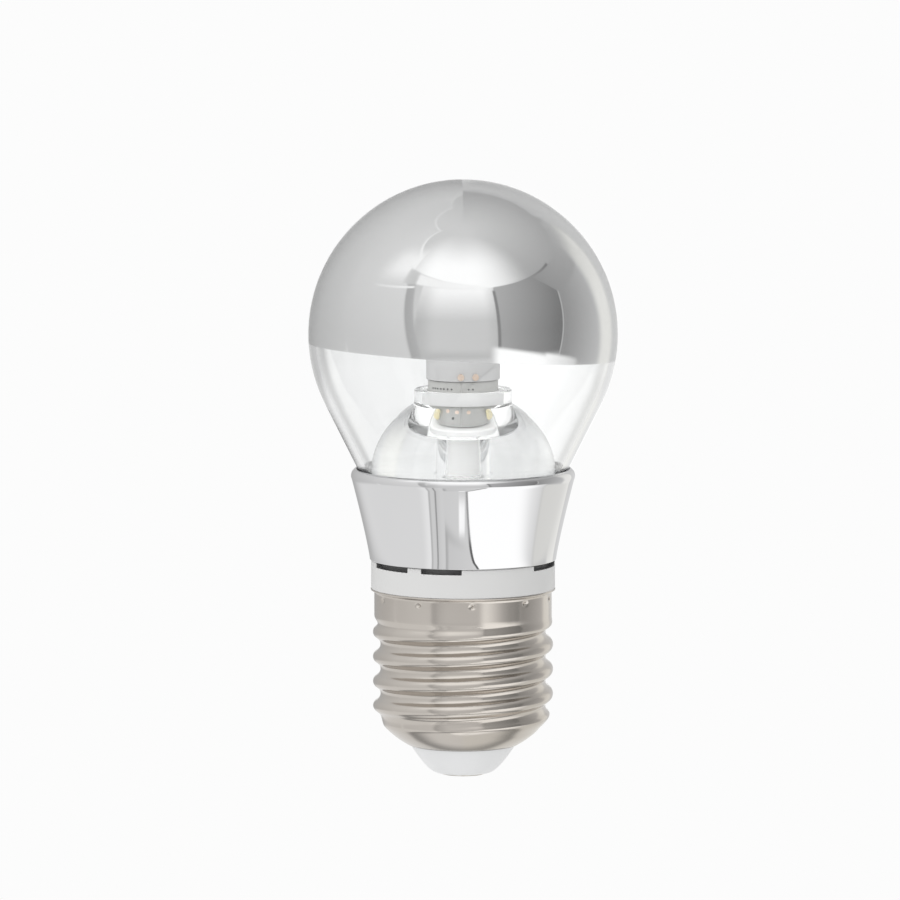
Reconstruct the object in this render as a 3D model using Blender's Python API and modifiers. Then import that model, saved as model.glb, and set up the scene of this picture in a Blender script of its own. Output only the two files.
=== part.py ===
"""A half-mirror LED bulb with a screw cap, modelled piece by piece.

Lengths are metres and angles are degrees. The origin is the centre of the contact face, and
+Z runs up the bulb's axis to the crown. Turns round the axis are counted from the front, which
is -Y, towards +X.
"""

import math

import bmesh
import bpy
from mathutils import Matrix, Vector

MM = 0.001

# Clearances
GAP = 0.3 * MM
LINING_GAP = 0.3 * MM

# Centre contact and insulator
CONTACT_RADIUS = 3.5 * MM
CONTACT_DISC = 0.9 * MM
CONTACT_PROUD = 0.3 * MM
CONTACT_EDGE = 0.25 * MM
STEM_RADIUS = 1.2 * MM
STEM_LENGTH = 5.0 * MM
TIP_END_RADIUS = 4.15 * MM
TIP_HEIGHT = 4.1 * MM
TIP_COLLAR = 2.4 * MM
TIP_COLLAR_WALL = 1.6 * MM

# Screw shell
THREAD_CREST_RADIUS = 13.15 * MM
THREAD_ROOT_RADIUS = 12.05 * MM
THREAD_PITCH = 3.629 * MM
THREAD_PHASE = 11.05 * MM
THREAD_START = 1.6 * MM
THREAD_RUN_IN = 4.3 * MM
THREAD_RUN_OUT = 2.0 * MM
THREAD_ARC = 1.13
THREAD_ROWS = 6
SHELL_HEIGHT = 22.9 * MM
SHELL_WALL = 0.3 * MM
SHELL_MOUTH_RADIUS = 8.2 * MM
SHELL_BAND_RADIUS = 12.95 * MM
SHELL_BAND = 3.9 * MM
SHELL_LIP_RADIUS = 13.45 * MM
SHELL_LIP = 0.5 * MM
SHELL_ROUNDNESS = 2.3

# Driver housing: white skirt, vent slots and inner sleeve
SKIRT_STEP = 0.2 * MM
SKIRT_HEIGHT = 3.7 * MM
SKIRT_EDGE = 0.3 * MM
SLEEVE_WALL = 1.3 * MM
SLEEVE_LIFT = 0.3 * MM
SLOT_HEIGHT = 0.65 * MM
SLOT_DEPTH = 0.9 * MM
SLOT_OVERCUT = 0.2 * MM
SLOT_GROUPS = 3
SLOT_ARCS = ((-70.5, -36.5), (-27.0, -0.9))

# Chrome housing
HOUSING_HEIGHT = 13.3 * MM
HOUSING_FOOT_RADIUS = 13.6 * MM
HOUSING_WIDE_RADIUS = 16.34 * MM
HOUSING_FLARE = 1.15
HOUSING_WALL = 1.0 * MM
HOUSING_LIP_WALL = 0.8 * MM
HOUSING_BEAD = 1.15 * MM
LEDGE_DEPTH = 5.0 * MM
LEDGE_THICK = 1.0 * MM
LEDGE_LIP = 0.05 * MM
SEAT_WIDTH = 1.4 * MM

# Globe and its mirror coat
GLOBE_RADIUS = 22.5 * MM
GLOBE_WALL = 1.0 * MM
GLOBE_TAPER = 26.57
NECK_DEPTH = 3.0 * MM
LINING_WALL = 0.3 * MM
MIRROR_DROP = 2.5 * MM
MIRROR_LEAN_X = 0.0554
MIRROR_LEAN_Y = 0.0254

# Base plate, lens and post
PLATE_THICK = 1.5 * MM
LENS_COLLAR_RADIUS = 7.1 * MM
LENS_COLLAR_WALL = 1.1 * MM
LENS_COLLAR_HEIGHT = 2.15 * MM
LENS_HEIGHT = 12.5 * MM
LENS_FLOOR = 4.7 * MM
RING_DROP = 0.2 * MM
RING_HEIGHT = 1.9 * MM
POST_RADIUS = 4.3 * MM
POST_WALL = 1.6 * MM
POST_HEIGHT = 17.5 * MM
FOOT_THICK = 0.8 * MM
TAIL_BORE = 1.9 * MM
TAIL_WALL = 0.5 * MM
TAIL_RIM = 0.8 * MM
TAIL_RIM_THICK = 0.5 * MM
BOARD_WALL = 0.5 * MM
BOARD_HEIGHT = 7.55 * MM
SLEEVE_OVER_BOARD = 0.26 * MM
CAP_THICK = 1.0 * MM
PAD_RADIUS = 0.5 * MM
PAD_THICK = 0.15 * MM
PAD_HEIGHT = 0.7 * MM
PAD_TURNS = {"pad_front": -3.3, "pad_right": 18.5}
CHIP_WIDTH = 1.5 * MM
CHIP_HEIGHT = 1.1 * MM
CHIP_THICK = 0.25 * MM
CHIP_LIFT = 1.6 * MM
CHIP_TURNS = (-45.0, 45.0, 135.0, 225.0)

# Driver
DRIVER_BOARD_THICK = 1.2 * MM
DRIVER_HEADROOM = 3.6 * MM
DRIVER_BOARD_LIFT = 1.5 * MM
CAPACITOR_RADIUS = 4.0 * MM
CAPACITOR_HEIGHT = 11.0 * MM
CAPACITOR_DROP = 7.0 * MM
CHOKE_RADIUS = 3.4 * MM
CHOKE_WAIST = 2.7 * MM
CHOKE_HEIGHT = 8.0 * MM
CHOKE_FLANGE = 1.0 * MM
CHOKE_LIFT = 4.5 * MM
FILM_CAPACITOR_SIZE = (7.0 * MM, 4.0 * MM, 8.0 * MM)
FILM_CAPACITOR_SIDE = -2.8 * MM
FILM_CAPACITOR_DROP = 6.0 * MM
FILM_CAPACITOR_ROUNDING = 0.8 * MM
RECTIFIER_SIZE = (4.8 * MM, 2.4 * MM, 4.0 * MM)
RECTIFIER_SIDE = 4.4 * MM
RECTIFIER_DROP = 6.0 * MM
DRIVER_CHIP_SIZE = (5.0 * MM, 1.5 * MM, 4.0 * MM)
DRIVER_CHIP_SIDE = -3.0 * MM
DRIVER_CHIP_LIFT = 11.5 * MM
PACKAGE_ROUNDING = 0.2 * MM
RESISTOR_RADIUS = 1.3 * MM
RESISTOR_LENGTH = 7.0 * MM
RESISTOR_LIFT = 4.0 * MM
WIRE_RADIUS = 0.55 * MM
LEAD_SPREAD = 1.0 * MM
LEAD_START = 2.5 * MM
LEAD_SHORT = 4.0 * MM
NEUTRAL_START = 6.0 * MM
NEUTRAL_DROP = 1.2 * MM

# Heights up the axis, each piece standing on the one below
TIP_BOTTOM = CONTACT_PROUD
SHELL_BOTTOM = TIP_BOTTOM + TIP_HEIGHT
SHELL_TOP = SHELL_BOTTOM + SHELL_HEIGHT
SKIRT_BOTTOM = SHELL_TOP + GAP
SKIRT_TOP = SKIRT_BOTTOM + SKIRT_HEIGHT
HOUSING_BOTTOM = SKIRT_TOP + GAP
HOUSING_TOP = HOUSING_BOTTOM + HOUSING_HEIGHT
LEDGE_TOP = HOUSING_TOP - LEDGE_DEPTH
SEAT_BOTTOM = LEDGE_TOP + GAP
NECK_END = HOUSING_TOP - NECK_DEPTH
PLATE_BOTTOM = NECK_END + GAP
PLATE_TOP = PLATE_BOTTOM + PLATE_THICK
SLEEVE_TOP = PLATE_BOTTOM - GAP
SLEEVE_BOTTOM = SHELL_BOTTOM + THREAD_START + THREAD_RUN_IN + SLEEVE_LIFT
LENS_BOTTOM = PLATE_TOP + GAP
LENS_TOP = LENS_BOTTOM + LENS_HEIGHT
FOOT_BOTTOM = LENS_BOTTOM + LENS_FLOOR + GAP
FOOT_TOP = FOOT_BOTTOM + FOOT_THICK
TAIL_TOP = PLATE_BOTTOM - GAP
TAIL_BOTTOM = TAIL_TOP - TAIL_RIM_THICK
BOARD_BOTTOM = FOOT_TOP + GAP
BOARD_TOP = BOARD_BOTTOM + BOARD_HEIGHT
WHITE_BOTTOM = BOARD_TOP + GAP
POST_TOP = FOOT_BOTTOM + POST_HEIGHT
CAP_BOTTOM = POST_TOP + GAP

# Radii that follow from their neighbours
SKIRT_RADIUS = HOUSING_FOOT_RADIUS - SKIRT_STEP
HOUSING_MOUTH_RADIUS = HOUSING_WIDE_RADIUS - HOUSING_LIP_WALL
NECK_SLOPE = math.tan(math.radians(GLOBE_TAPER))
CONE_REACH = GLOBE_RADIUS / math.cos(math.radians(GLOBE_TAPER))
GLOBE_CENTRE = HOUSING_TOP + (CONE_REACH - HOUSING_MOUTH_RADIUS + GAP / 2) / NECK_SLOPE
GLOBE_SKEW_WALL = GLOBE_WALL / math.cos(math.radians(GLOBE_TAPER))
NECK_MIDDLE = CONE_REACH - (GLOBE_CENTRE - NECK_END) * NECK_SLOPE - GLOBE_SKEW_WALL / 2
LEDGE_BORE = NECK_MIDDLE - SEAT_WIDTH / 2 - LEDGE_LIP
SLEEVE_UPPER_RADIUS = min(HOUSING_FOOT_RADIUS - HOUSING_WALL, LEDGE_BORE) - GAP
SLEEVE_LOWER_RADIUS = THREAD_ROOT_RADIUS - SHELL_WALL - GAP
LENS_BORE_RADIUS = LENS_COLLAR_RADIUS - LENS_COLLAR_WALL
TAIL_RADIUS = TAIL_BORE + TAIL_WALL
BOARD_RADIUS = POST_RADIUS + GAP + BOARD_WALL
DRIVER_BOARD_WIDTH = 2 * math.sqrt(
    (min(SLEEVE_LOWER_RADIUS, SLEEVE_UPPER_RADIUS) - SLEEVE_WALL - GAP) ** 2
    - (DRIVER_BOARD_THICK / 2) ** 2
)
DRIVER_BOTTOM = SLEEVE_BOTTOM + DRIVER_BOARD_LIFT
DRIVER_TOP = PLATE_BOTTOM - DRIVER_HEADROOM
WHITE_RADIUS = BOARD_RADIUS + SLEEVE_OVER_BOARD


def clear_scene():
    for item in list(bpy.data.objects):
        bpy.data.objects.remove(item, do_unlink=True)


clear_scene()

BULB = bpy.data.collections.new("led_bulb")
CUTTERS = bpy.data.collections.new("cutters")
bpy.context.scene.collection.children.link(BULB)
bpy.context.scene.collection.children.link(CUTTERS)


def material(name, colour, roughness, metallic=0.0, alpha=1.0, transmission=0.0):
    made = bpy.data.materials.new(name)
    made.use_nodes = True
    shader = made.node_tree.nodes["Principled BSDF"]
    shader.inputs["Base Color"].default_value = (*colour, 1.0)
    shader.inputs["Roughness"].default_value = roughness
    shader.inputs["Metallic"].default_value = metallic
    shader.inputs["Alpha"].default_value = alpha
    shader.inputs["Transmission Weight"].default_value = transmission
    made.diffuse_color = (*colour, alpha)
    return made


GLASS = material("clear_glass", (0.97, 0.98, 0.98), 0.02, alpha=0.35, transmission=1.0)
MIRROR = material("silver_mirror", (0.86, 0.86, 0.86), 0.03, metallic=1.0)
LENS = material("clear_lens", (0.95, 0.96, 0.96), 0.03, alpha=0.35, transmission=1.0)
CHROME = material("chrome", (0.80, 0.80, 0.81), 0.05, metallic=1.0)
NICKEL = material("satin_nickel", (0.66, 0.62, 0.57), 0.32, metallic=1.0)
WHITE_PLASTIC = material("white_plastic", (0.86, 0.87, 0.87), 0.40)
ALUMINIUM = material("aluminium", (0.74, 0.74, 0.74), 0.35, metallic=1.0)
GREY_BOARD = material("grey_board", (0.45, 0.45, 0.43), 0.45)
WHITE_BOARD = material("white_sleeve", (0.80, 0.80, 0.79), 0.45)
COPPER = material("copper_pad", (0.80, 0.50, 0.36), 0.35, metallic=0.6)
PHOSPHOR = material("yellow_phosphor", (0.82, 0.74, 0.36), 0.50)
RUBBER = material("soft_seat", (0.75, 0.75, 0.74), 0.60)
GREEN_BOARD = material("driver_board", (0.12, 0.30, 0.16), 0.50)
BLACK_PLASTIC = material("black_plastic", (0.03, 0.03, 0.03), 0.45)
DARK_SLEEVE = material("capacitor_sleeve", (0.04, 0.05, 0.09), 0.35)
BROWN_COAT = material("film_capacitor", (0.50, 0.24, 0.08), 0.35)
WINDING = material("copper_winding", (0.65, 0.33, 0.17), 0.35, metallic=0.7)
RED_COAT = material("red_lead", (0.55, 0.05, 0.04), 0.45)
BLACK_COAT = material("black_lead", (0.03, 0.03, 0.03), 0.45)
GREEN_COAT = material("green_coat", (0.20, 0.38, 0.24), 0.45)


def direction(turn):
    """The unit vector at a turn round the axis, 0 at the front."""
    angle = math.radians(turn)
    return Vector((math.sin(angle), -math.cos(angle), 0))


def add(name, mesh, paint, smooth=30.0):
    made = bpy.data.objects.new(name, mesh)
    BULB.objects.link(made)
    mesh.materials.append(paint)
    mesh.shade_smooth()
    mesh.set_sharp_from_angle(angle=math.radians(smooth))
    return made


def profile_mesh(name, points, closed):
    """A line of (radius, height) points in the XZ plane."""
    mesh = bpy.data.meshes.new(name)
    edges = [(i, i + 1) for i in range(len(points) - 1)]
    if closed:
        edges.append((len(points) - 1, 0))
    mesh.from_pydata([(radius, 0, height) for radius, height in points], edges, [])
    return mesh


def turned(name, points, paint, steps=32, closed=True, smooth=30.0):
    """Turns a profile, listed down its outer side, round the axis with a Screw modifier."""
    made = add(name, profile_mesh(name, points, closed), paint, smooth)
    screw = made.modifiers.new("turn", "SCREW")
    screw.steps = steps
    screw.render_steps = steps
    screw.use_merge_vertices = True
    screw.merge_threshold = 0.00001
    return made


def solidify(made, thickness):
    shell = made.modifiers.new("wall", "SOLIDIFY")
    shell.thickness = thickness
    shell.offset = -1
    shell.use_even_offset = True


def cut(made, cutter):
    boolean = made.modifiers.new("cut", "BOOLEAN")
    boolean.operation = "DIFFERENCE"
    boolean.solver = "EXACT"
    boolean.object = cutter


def as_cutter(made):
    BULB.objects.unlink(made)
    CUTTERS.objects.link(made)
    made.hide_render = True
    made.display_type = "WIRE"
    return made


def cylinder(name, radius, height, centre, paint, axis=(0, 0, 1), segments=20):
    mesh = bpy.data.meshes.new(name)
    shape = bmesh.new()
    bmesh.ops.create_cone(
        shape, cap_ends=True, segments=segments, radius1=radius, radius2=radius, depth=height
    )
    shape.to_mesh(mesh)
    shape.free()
    made = add(name, mesh, paint)
    made.location = centre
    made.rotation_euler = Vector(axis).to_track_quat("Z", "Y").to_euler()
    return made


def block(name, size, centre, paint, turn=0.0, rounding=0.0):
    mesh = bpy.data.meshes.new(name)
    shape = bmesh.new()
    bmesh.ops.create_cube(shape, size=1.0, matrix=Matrix.Diagonal((*size, 1.0)))
    shape.to_mesh(mesh)
    shape.free()
    made = add(name, mesh, paint)
    made.location = centre
    made.rotation_euler = (0, 0, math.radians(turn))
    if rounding:
        bevel = made.modifiers.new("edges", "BEVEL")
        bevel.width = rounding
        bevel.segments = 2
    return made


def wire(name, points, paint):
    """A round wire along a smooth path through the given points."""
    curve = bpy.data.curves.new(name, "CURVE")
    curve.dimensions = "3D"
    curve.bevel_depth = WIRE_RADIUS
    curve.bevel_resolution = 2
    curve.use_fill_caps = True
    path = smooth_path([Vector(point) for point in points])
    spline = curve.splines.new("POLY")
    spline.points.add(len(path) - 1)
    for place, point in zip(spline.points, path):
        place.co = (*point, 1.0)
    curve.materials.append(paint)
    made = bpy.data.objects.new(name, curve)
    BULB.objects.link(made)
    return made


def smooth_path(points, steps=3):
    """Points on a Catmull-Rom curve through the given ones."""
    ends = [points[0] * 2 - points[1], *points, points[-1] * 2 - points[-2]]
    path = []
    for before, start, end, after in zip(ends, ends[1:], ends[2:], ends[3:]):
        for step in range(steps):
            t = step / steps
            path.append(
                0.5 * (
                    2 * start
                    + (end - before) * t
                    + (2 * before - 5 * start + 4 * end - after) * t**2
                    + (3 * start - before - 3 * end + after) * t**3
                )
            )
    return path + [points[-1]]


def arc(centre_r, centre_z, radius_r, radius_z, first, last, count):
    """Points on an ellipse from one angle to another, 0 along +r and 90 along +z."""
    angles = [math.radians(first + (last - first) * i / count) for i in range(count + 1)]
    return [
        (centre_r + radius_r * math.cos(a), centre_z + radius_z * math.sin(a)) for a in angles
    ]


# Contact and insulator

def contact_button():
    """A plated disc with a stem that is riveted up through the insulator."""
    stem_top = CONTACT_DISC + STEM_LENGTH
    points = [
        (0, stem_top),
        (STEM_RADIUS, stem_top),
        (STEM_RADIUS, CONTACT_DISC),
        (CONTACT_RADIUS, CONTACT_DISC),
        (CONTACT_RADIUS, CONTACT_EDGE),
        (CONTACT_RADIUS - CONTACT_EDGE, 0),
        (0, 0),
    ]
    turned("contact_button", points, NICKEL, steps=24, closed=False)


def insulator_radius(share):
    """The white tip's radius at a share of its height, from its end to the shell's mouth."""
    mouth = SHELL_MOUTH_RADIUS - SHELL_WALL - GAP
    return TIP_END_RADIUS + (mouth - TIP_END_RADIUS) * share**0.72


def insulator_tip():
    mouth = SHELL_MOUTH_RADIUS - SHELL_WALL - GAP
    top = SHELL_BOTTOM + TIP_COLLAR
    recess = CONTACT_RADIUS + GAP
    ceiling = CONTACT_DISC + GAP
    hole = STEM_RADIUS + GAP
    steps = 6
    outer = [
        (insulator_radius(1 - i / steps), SHELL_BOTTOM - TIP_HEIGHT * i / steps)
        for i in range(steps + 1)
    ]
    floor = SHELL_BOTTOM - GAP
    points = [
        (mouth, top),
        *outer,
        (recess, TIP_BOTTOM),
        (recess, ceiling),
        (hole, ceiling),
        (hole, floor),
        (mouth - TIP_COLLAR_WALL, floor),
        (mouth - TIP_COLLAR_WALL, top),
    ]
    turned("insulator_tip", points, WHITE_PLASTIC, steps=32)


# Screw shell

def ramp(value, start, length):
    """0 below start, 1 past start plus length, and a smooth rise between them."""
    share = min(max((value - start) / length, 0.0), 1.0)
    return share * share * (3 - 2 * share)


def thread_wave(turns):
    """The round thread's profile, 1 at a crest and -1 in a root, from two arcs that meet."""
    part = (turns + 0.25) % 1.0
    away = 4 * part - 1 if part < 0.5 else 4 * part - 3
    flat = math.sqrt(THREAD_ARC**2 - 1)
    rise = (math.sqrt(THREAD_ARC**2 - away * away) - flat) / (THREAD_ARC - flat)
    return rise if part < 0.5 else -rise


def shell_radius(turn, height):
    """The shell's outer radius, with its rounded right-hand thread.

    height is counted from the shell's mouth, and turn from the front.
    """
    mean = (THREAD_CREST_RADIUS + THREAD_ROOT_RADIUS) / 2
    depth = (THREAD_CREST_RADIUS - THREAD_ROOT_RADIUS) / 2
    run_in = THREAD_START + THREAD_RUN_IN
    share = min(height / run_in, 1.0)
    cup = SHELL_MOUTH_RADIUS + (mean - SHELL_MOUTH_RADIUS) * (1 - (1 - share) ** SHELL_ROUNDNESS)
    climb = (turn - 90) / 360 * THREAD_PITCH
    wave = thread_wave((height - THREAD_PHASE - climb) / THREAD_PITCH)
    threaded = cup + wave * depth * ramp(height, THREAD_START, THREAD_RUN_IN)
    smooth = ramp(height, SHELL_HEIGHT - SHELL_BAND - THREAD_RUN_OUT, THREAD_RUN_OUT)
    return threaded + (SHELL_BAND_RADIUS - threaded) * smooth


def screw_shell():
    """A pressed shell: its turned form gets the thread's wave, then its wall."""
    threaded = SHELL_HEIGHT - SHELL_BAND
    rows = max(round(threaded / THREAD_PITCH * THREAD_ROWS), THREAD_ROWS)
    heights = [threaded * i / rows for i in range(rows + 1)]
    heights += [SHELL_HEIGHT - 2 * SHELL_LIP, SHELL_HEIGHT - SHELL_LIP, SHELL_HEIGHT]
    mesh = bpy.data.meshes.new("screw_shell")
    shape = bmesh.new()
    verts = [shape.verts.new((SHELL_BAND_RADIUS, 0, height)) for height in reversed(heights)]
    edges = [shape.edges.new(pair) for pair in zip(verts, verts[1:])]
    bmesh.ops.spin(
        shape,
        geom=[*verts, *edges],
        cent=(0, 0, 0),
        axis=(0, 0, 1),
        angle=2 * math.pi,
        steps=32,
        use_merge=True,
    )
    for vert in shape.verts:
        height = vert.co.z
        turn = math.degrees(math.atan2(vert.co.x, -vert.co.y))
        radius = shell_radius(turn, height)
        if height > SHELL_HEIGHT - 1.5 * SHELL_LIP:
            radius = SHELL_LIP_RADIUS
        vert.co = radius * direction(turn) + Vector((0, 0, height))
    bmesh.ops.recalc_face_normals(shape, faces=shape.faces)
    shape.to_mesh(mesh)
    shape.free()
    made = add("screw_shell", mesh, NICKEL, smooth=60.0)
    made.location.z = SHELL_BOTTOM
    solidify(made, SHELL_WALL)


# Driver housing

def slot_cutter(name, first, last):
    """A curved bar that cuts one vent slot from the skirt's top edge."""
    inner = SKIRT_RADIUS - SLOT_DEPTH
    outer = SKIRT_RADIUS + SLOT_OVERCUT
    low = SKIRT_TOP - SLOT_HEIGHT
    high = SKIRT_TOP + SLOT_OVERCUT
    mesh = bpy.data.meshes.new(name)
    shape = bmesh.new()
    start = direction(first)
    corners = [(inner, low), (outer, low), (outer, high), (inner, high)]
    verts = [shape.verts.new(start * radius + Vector((0, 0, z))) for radius, z in corners]
    face = shape.faces.new(verts)
    bmesh.ops.spin(
        shape,
        geom=[face],
        cent=(0, 0, 0),
        axis=(0, 0, 1),
        angle=math.radians(last - first),
        steps=5,
    )
    bmesh.ops.recalc_face_normals(shape, faces=shape.faces)
    shape.to_mesh(mesh)
    shape.free()
    return as_cutter(add(name, mesh, WHITE_PLASTIC))


def driver_housing():
    """The white skirt, with the sleeve that holds the driver in the cap and in the housing."""
    upper = SLEEVE_UPPER_RADIUS
    lower = SLEEVE_LOWER_RADIUS
    points = [
        (upper, SLEEVE_TOP),
        (upper, SKIRT_TOP),
        (SKIRT_RADIUS - SKIRT_EDGE, SKIRT_TOP),
        (SKIRT_RADIUS, SKIRT_TOP - SKIRT_EDGE),
        (SKIRT_RADIUS, SKIRT_BOTTOM + SKIRT_EDGE),
        (SKIRT_RADIUS - SKIRT_EDGE, SKIRT_BOTTOM),
        (lower, SKIRT_BOTTOM),
        (lower, SLEEVE_BOTTOM),
        (lower - SLEEVE_WALL, SLEEVE_BOTTOM),
        (lower - SLEEVE_WALL, SKIRT_BOTTOM),
        (upper - SLEEVE_WALL, SKIRT_TOP),
        (upper - SLEEVE_WALL, SLEEVE_TOP),
    ]
    made = turned("driver_housing", points, WHITE_PLASTIC, steps=36)
    for group in range(SLOT_GROUPS):
        shift = group * 360 / SLOT_GROUPS
        for index, (first, last) in enumerate(SLOT_ARCS):
            cut(made, slot_cutter(f"slot_{group}_{index}", first + shift, last + shift))


# Chrome housing and the globe's seat

def flare_radius(height):
    """The flared outside of the chrome housing at a height over its foot."""
    widest = HOUSING_HEIGHT - HOUSING_BEAD
    share = max(height / widest, 0.0) ** HOUSING_FLARE
    return HOUSING_FOOT_RADIUS + (HOUSING_WIDE_RADIUS - HOUSING_FOOT_RADIUS) * share


def reflector_housing():
    steps = 5
    widest = HOUSING_HEIGHT - HOUSING_BEAD
    heights = [widest * i / steps for i in range(steps + 1)]
    outer = [(flare_radius(h), HOUSING_BOTTOM + h) for h in heights]
    bead_width = HOUSING_WIDE_RADIUS - HOUSING_MOUTH_RADIUS
    bead = arc(
        HOUSING_MOUTH_RADIUS, HOUSING_TOP - HOUSING_BEAD, bead_width, HOUSING_BEAD, 90, 0, 4
    )
    ledge_bottom = LEDGE_TOP - LEDGE_THICK
    above = flare_radius(LEDGE_TOP - HOUSING_BOTTOM) - HOUSING_WALL
    below = flare_radius(ledge_bottom - HOUSING_BOTTOM) - HOUSING_WALL
    points = [
        *bead,
        *reversed(outer[:-1]),
        (HOUSING_FOOT_RADIUS - HOUSING_WALL, HOUSING_BOTTOM),
        (below, ledge_bottom),
        (LEDGE_BORE, ledge_bottom),
        (LEDGE_BORE, LEDGE_TOP),
        (above, LEDGE_TOP),
        (HOUSING_MOUTH_RADIUS, HOUSING_TOP - HOUSING_BEAD),
    ]
    turned("reflector_housing", points, CHROME, steps=40, smooth=40.0)


def globe_seat():
    """A soft ring on the housing's ledge, which carries the globe's neck."""
    inner = NECK_MIDDLE - SEAT_WIDTH / 2
    outer = NECK_MIDDLE + SEAT_WIDTH / 2
    top = NECK_END - GAP
    points = [(outer, top), (outer, SEAT_BOTTOM), (inner, SEAT_BOTTOM), (inner, top)]
    turned("globe_seat", points, RUBBER, steps=24)


# Globe and mirror coat

def neck_radius(height):
    """The outside of the globe's cone, which leaves the ball at its tangent."""
    return CONE_REACH - (GLOBE_CENTRE - height) * NECK_SLOPE


def glass_globe():
    crown = arc(0, GLOBE_CENTRE, GLOBE_RADIUS, GLOBE_RADIUS, 90, 0, 12)
    below = arc(0, GLOBE_CENTRE, GLOBE_RADIUS, GLOBE_RADIUS, 0, -GLOBE_TAPER, 4)
    pole = (0, GLOBE_CENTRE + GLOBE_RADIUS)
    points = [pole, *crown[1:], *below[1:], (neck_radius(NECK_END), NECK_END)]
    made = turned("glass_globe", points, GLASS, steps=36, closed=False, smooth=60.0)
    solidify(made, GLOBE_WALL)


def mirror_lining():
    """The coat inside the crown, cut along the tilted edge of its mask."""
    radius = GLOBE_RADIUS - GLOBE_WALL - LINING_GAP
    reach = math.degrees(math.asin(min((MIRROR_DROP + radius * MIRROR_LEAN_X * 2) / radius, 1)))
    points = arc(0, GLOBE_CENTRE, radius, radius, 90, -reach, 12)
    points[0] = (0, GLOBE_CENTRE + radius)
    mesh = bpy.data.meshes.new("mirror_lining")
    shape = bmesh.new()
    verts = [shape.verts.new((r, 0, z)) for r, z in points]
    edges = [shape.edges.new(pair) for pair in zip(verts, verts[1:])]
    bmesh.ops.spin(
        shape,
        geom=[*verts, *edges],
        cent=(0, 0, 0),
        axis=(0, 0, 1),
        angle=2 * math.pi,
        steps=32,
        use_merge=True,
    )
    bmesh.ops.remove_doubles(shape, verts=shape.verts, dist=0.00001)
    bmesh.ops.bisect_plane(
        shape,
        geom=[*shape.verts, *shape.edges, *shape.faces],
        dist=0.0000001,
        plane_co=(0, 0, GLOBE_CENTRE - MIRROR_DROP),
        plane_no=(MIRROR_LEAN_X, MIRROR_LEAN_Y, 1),
        clear_inner=True,
    )
    bmesh.ops.recalc_face_normals(shape, faces=shape.faces)
    shape.to_mesh(mesh)
    shape.free()
    made = add("mirror_lining", mesh, MIRROR, smooth=60.0)
    solidify(made, LINING_WALL)


# Base plate, lens and post

def base_plate():
    """The round plate inside the globe's neck, with a hole for the post's tail."""
    radius = neck_radius(PLATE_BOTTOM) - GLOBE_SKEW_WALL - GAP
    hole = TAIL_RADIUS + GAP
    points = [(radius, PLATE_TOP), (radius, PLATE_BOTTOM), (hole, PLATE_BOTTOM), (hole, PLATE_TOP)]
    turned("base_plate", points, ALUMINIUM)


def led_post():
    """An aluminium tube with a foot in the lens's pocket and a hollow tail.

    The tail goes down through the lens and the plate, and its end is rolled out under the plate.
    """
    foot = LENS_BORE_RADIUS - GAP
    bore = POST_RADIUS - POST_WALL
    points = [
        (POST_RADIUS, POST_TOP),
        (POST_RADIUS, FOOT_TOP),
        (foot, FOOT_TOP),
        (foot, FOOT_BOTTOM),
        (TAIL_RADIUS, FOOT_BOTTOM),
        (TAIL_RADIUS, TAIL_TOP),
        (TAIL_RADIUS + TAIL_RIM, TAIL_TOP),
        (TAIL_RADIUS + TAIL_RIM, TAIL_BOTTOM),
        (TAIL_BORE, TAIL_BOTTOM),
        (TAIL_BORE, FOOT_TOP),
        (bore, FOOT_TOP),
        (bore, POST_TOP),
    ]
    turned("led_post", points, ALUMINIUM, steps=32)


def tube(name, outer, inner, bottom, top, paint, steps=24):
    points = [(outer, top), (outer, bottom), (inner, bottom), (inner, top)]
    return turned(name, points, paint, steps=steps)


def post_dressing():
    """The wrapped board, the white sleeve over the post and the disc on its top."""
    inner = POST_RADIUS + GAP
    tube("led_board", BOARD_RADIUS, inner, BOARD_BOTTOM, BOARD_TOP, GREY_BOARD)
    tube("post_sleeve", WHITE_RADIUS, inner, WHITE_BOTTOM, POST_TOP, WHITE_BOARD)
    cylinder(
        "post_cap", WHITE_RADIUS, CAP_THICK, (0, 0, CAP_BOTTOM + CAP_THICK / 2), WHITE_BOARD,
        segments=32,
    )


def led_chips():
    for index, turn in enumerate(CHIP_TURNS, start=1):
        out = BOARD_RADIUS + GAP + CHIP_THICK / 2
        centre = direction(turn) * out + Vector((0, 0, BOARD_BOTTOM + CHIP_LIFT))
        size = (CHIP_WIDTH, CHIP_THICK, CHIP_HEIGHT)
        block(f"led_chip_{index}", size, centre, PHOSPHOR, turn=turn)


def copper_pads():
    for name, turn in PAD_TURNS.items():
        out = WHITE_RADIUS + GAP + PAD_THICK / 2
        centre = direction(turn) * out + Vector((0, 0, WHITE_BOTTOM + PAD_HEIGHT))
        cylinder(name, PAD_RADIUS, PAD_THICK, centre, COPPER, axis=direction(turn), segments=16)


def inner_lens():
    """A solid clear dome with a collar, and a pocket for the board that stops over its floor."""
    rim = neck_radius(LENS_BOTTOM) - GLOBE_SKEW_WALL - GAP
    shoulder = LENS_TOP - LENS_COLLAR_HEIGHT
    start = math.degrees(math.acos(LENS_COLLAR_RADIUS / rim))
    dome_height = (shoulder - LENS_BOTTOM) / math.sin(math.radians(start))
    hole = TAIL_RADIUS + GAP
    floor = LENS_BOTTOM + LENS_FLOOR
    points = [
        (LENS_COLLAR_RADIUS, LENS_TOP),
        *arc(0, LENS_BOTTOM, rim, dome_height, start, 0, 8),
        (hole, LENS_BOTTOM),
        (hole, floor),
        (LENS_BORE_RADIUS, floor),
        (LENS_BORE_RADIUS, LENS_TOP),
    ]
    turned("inner_lens", points, LENS, steps=36, smooth=40.0)


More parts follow.
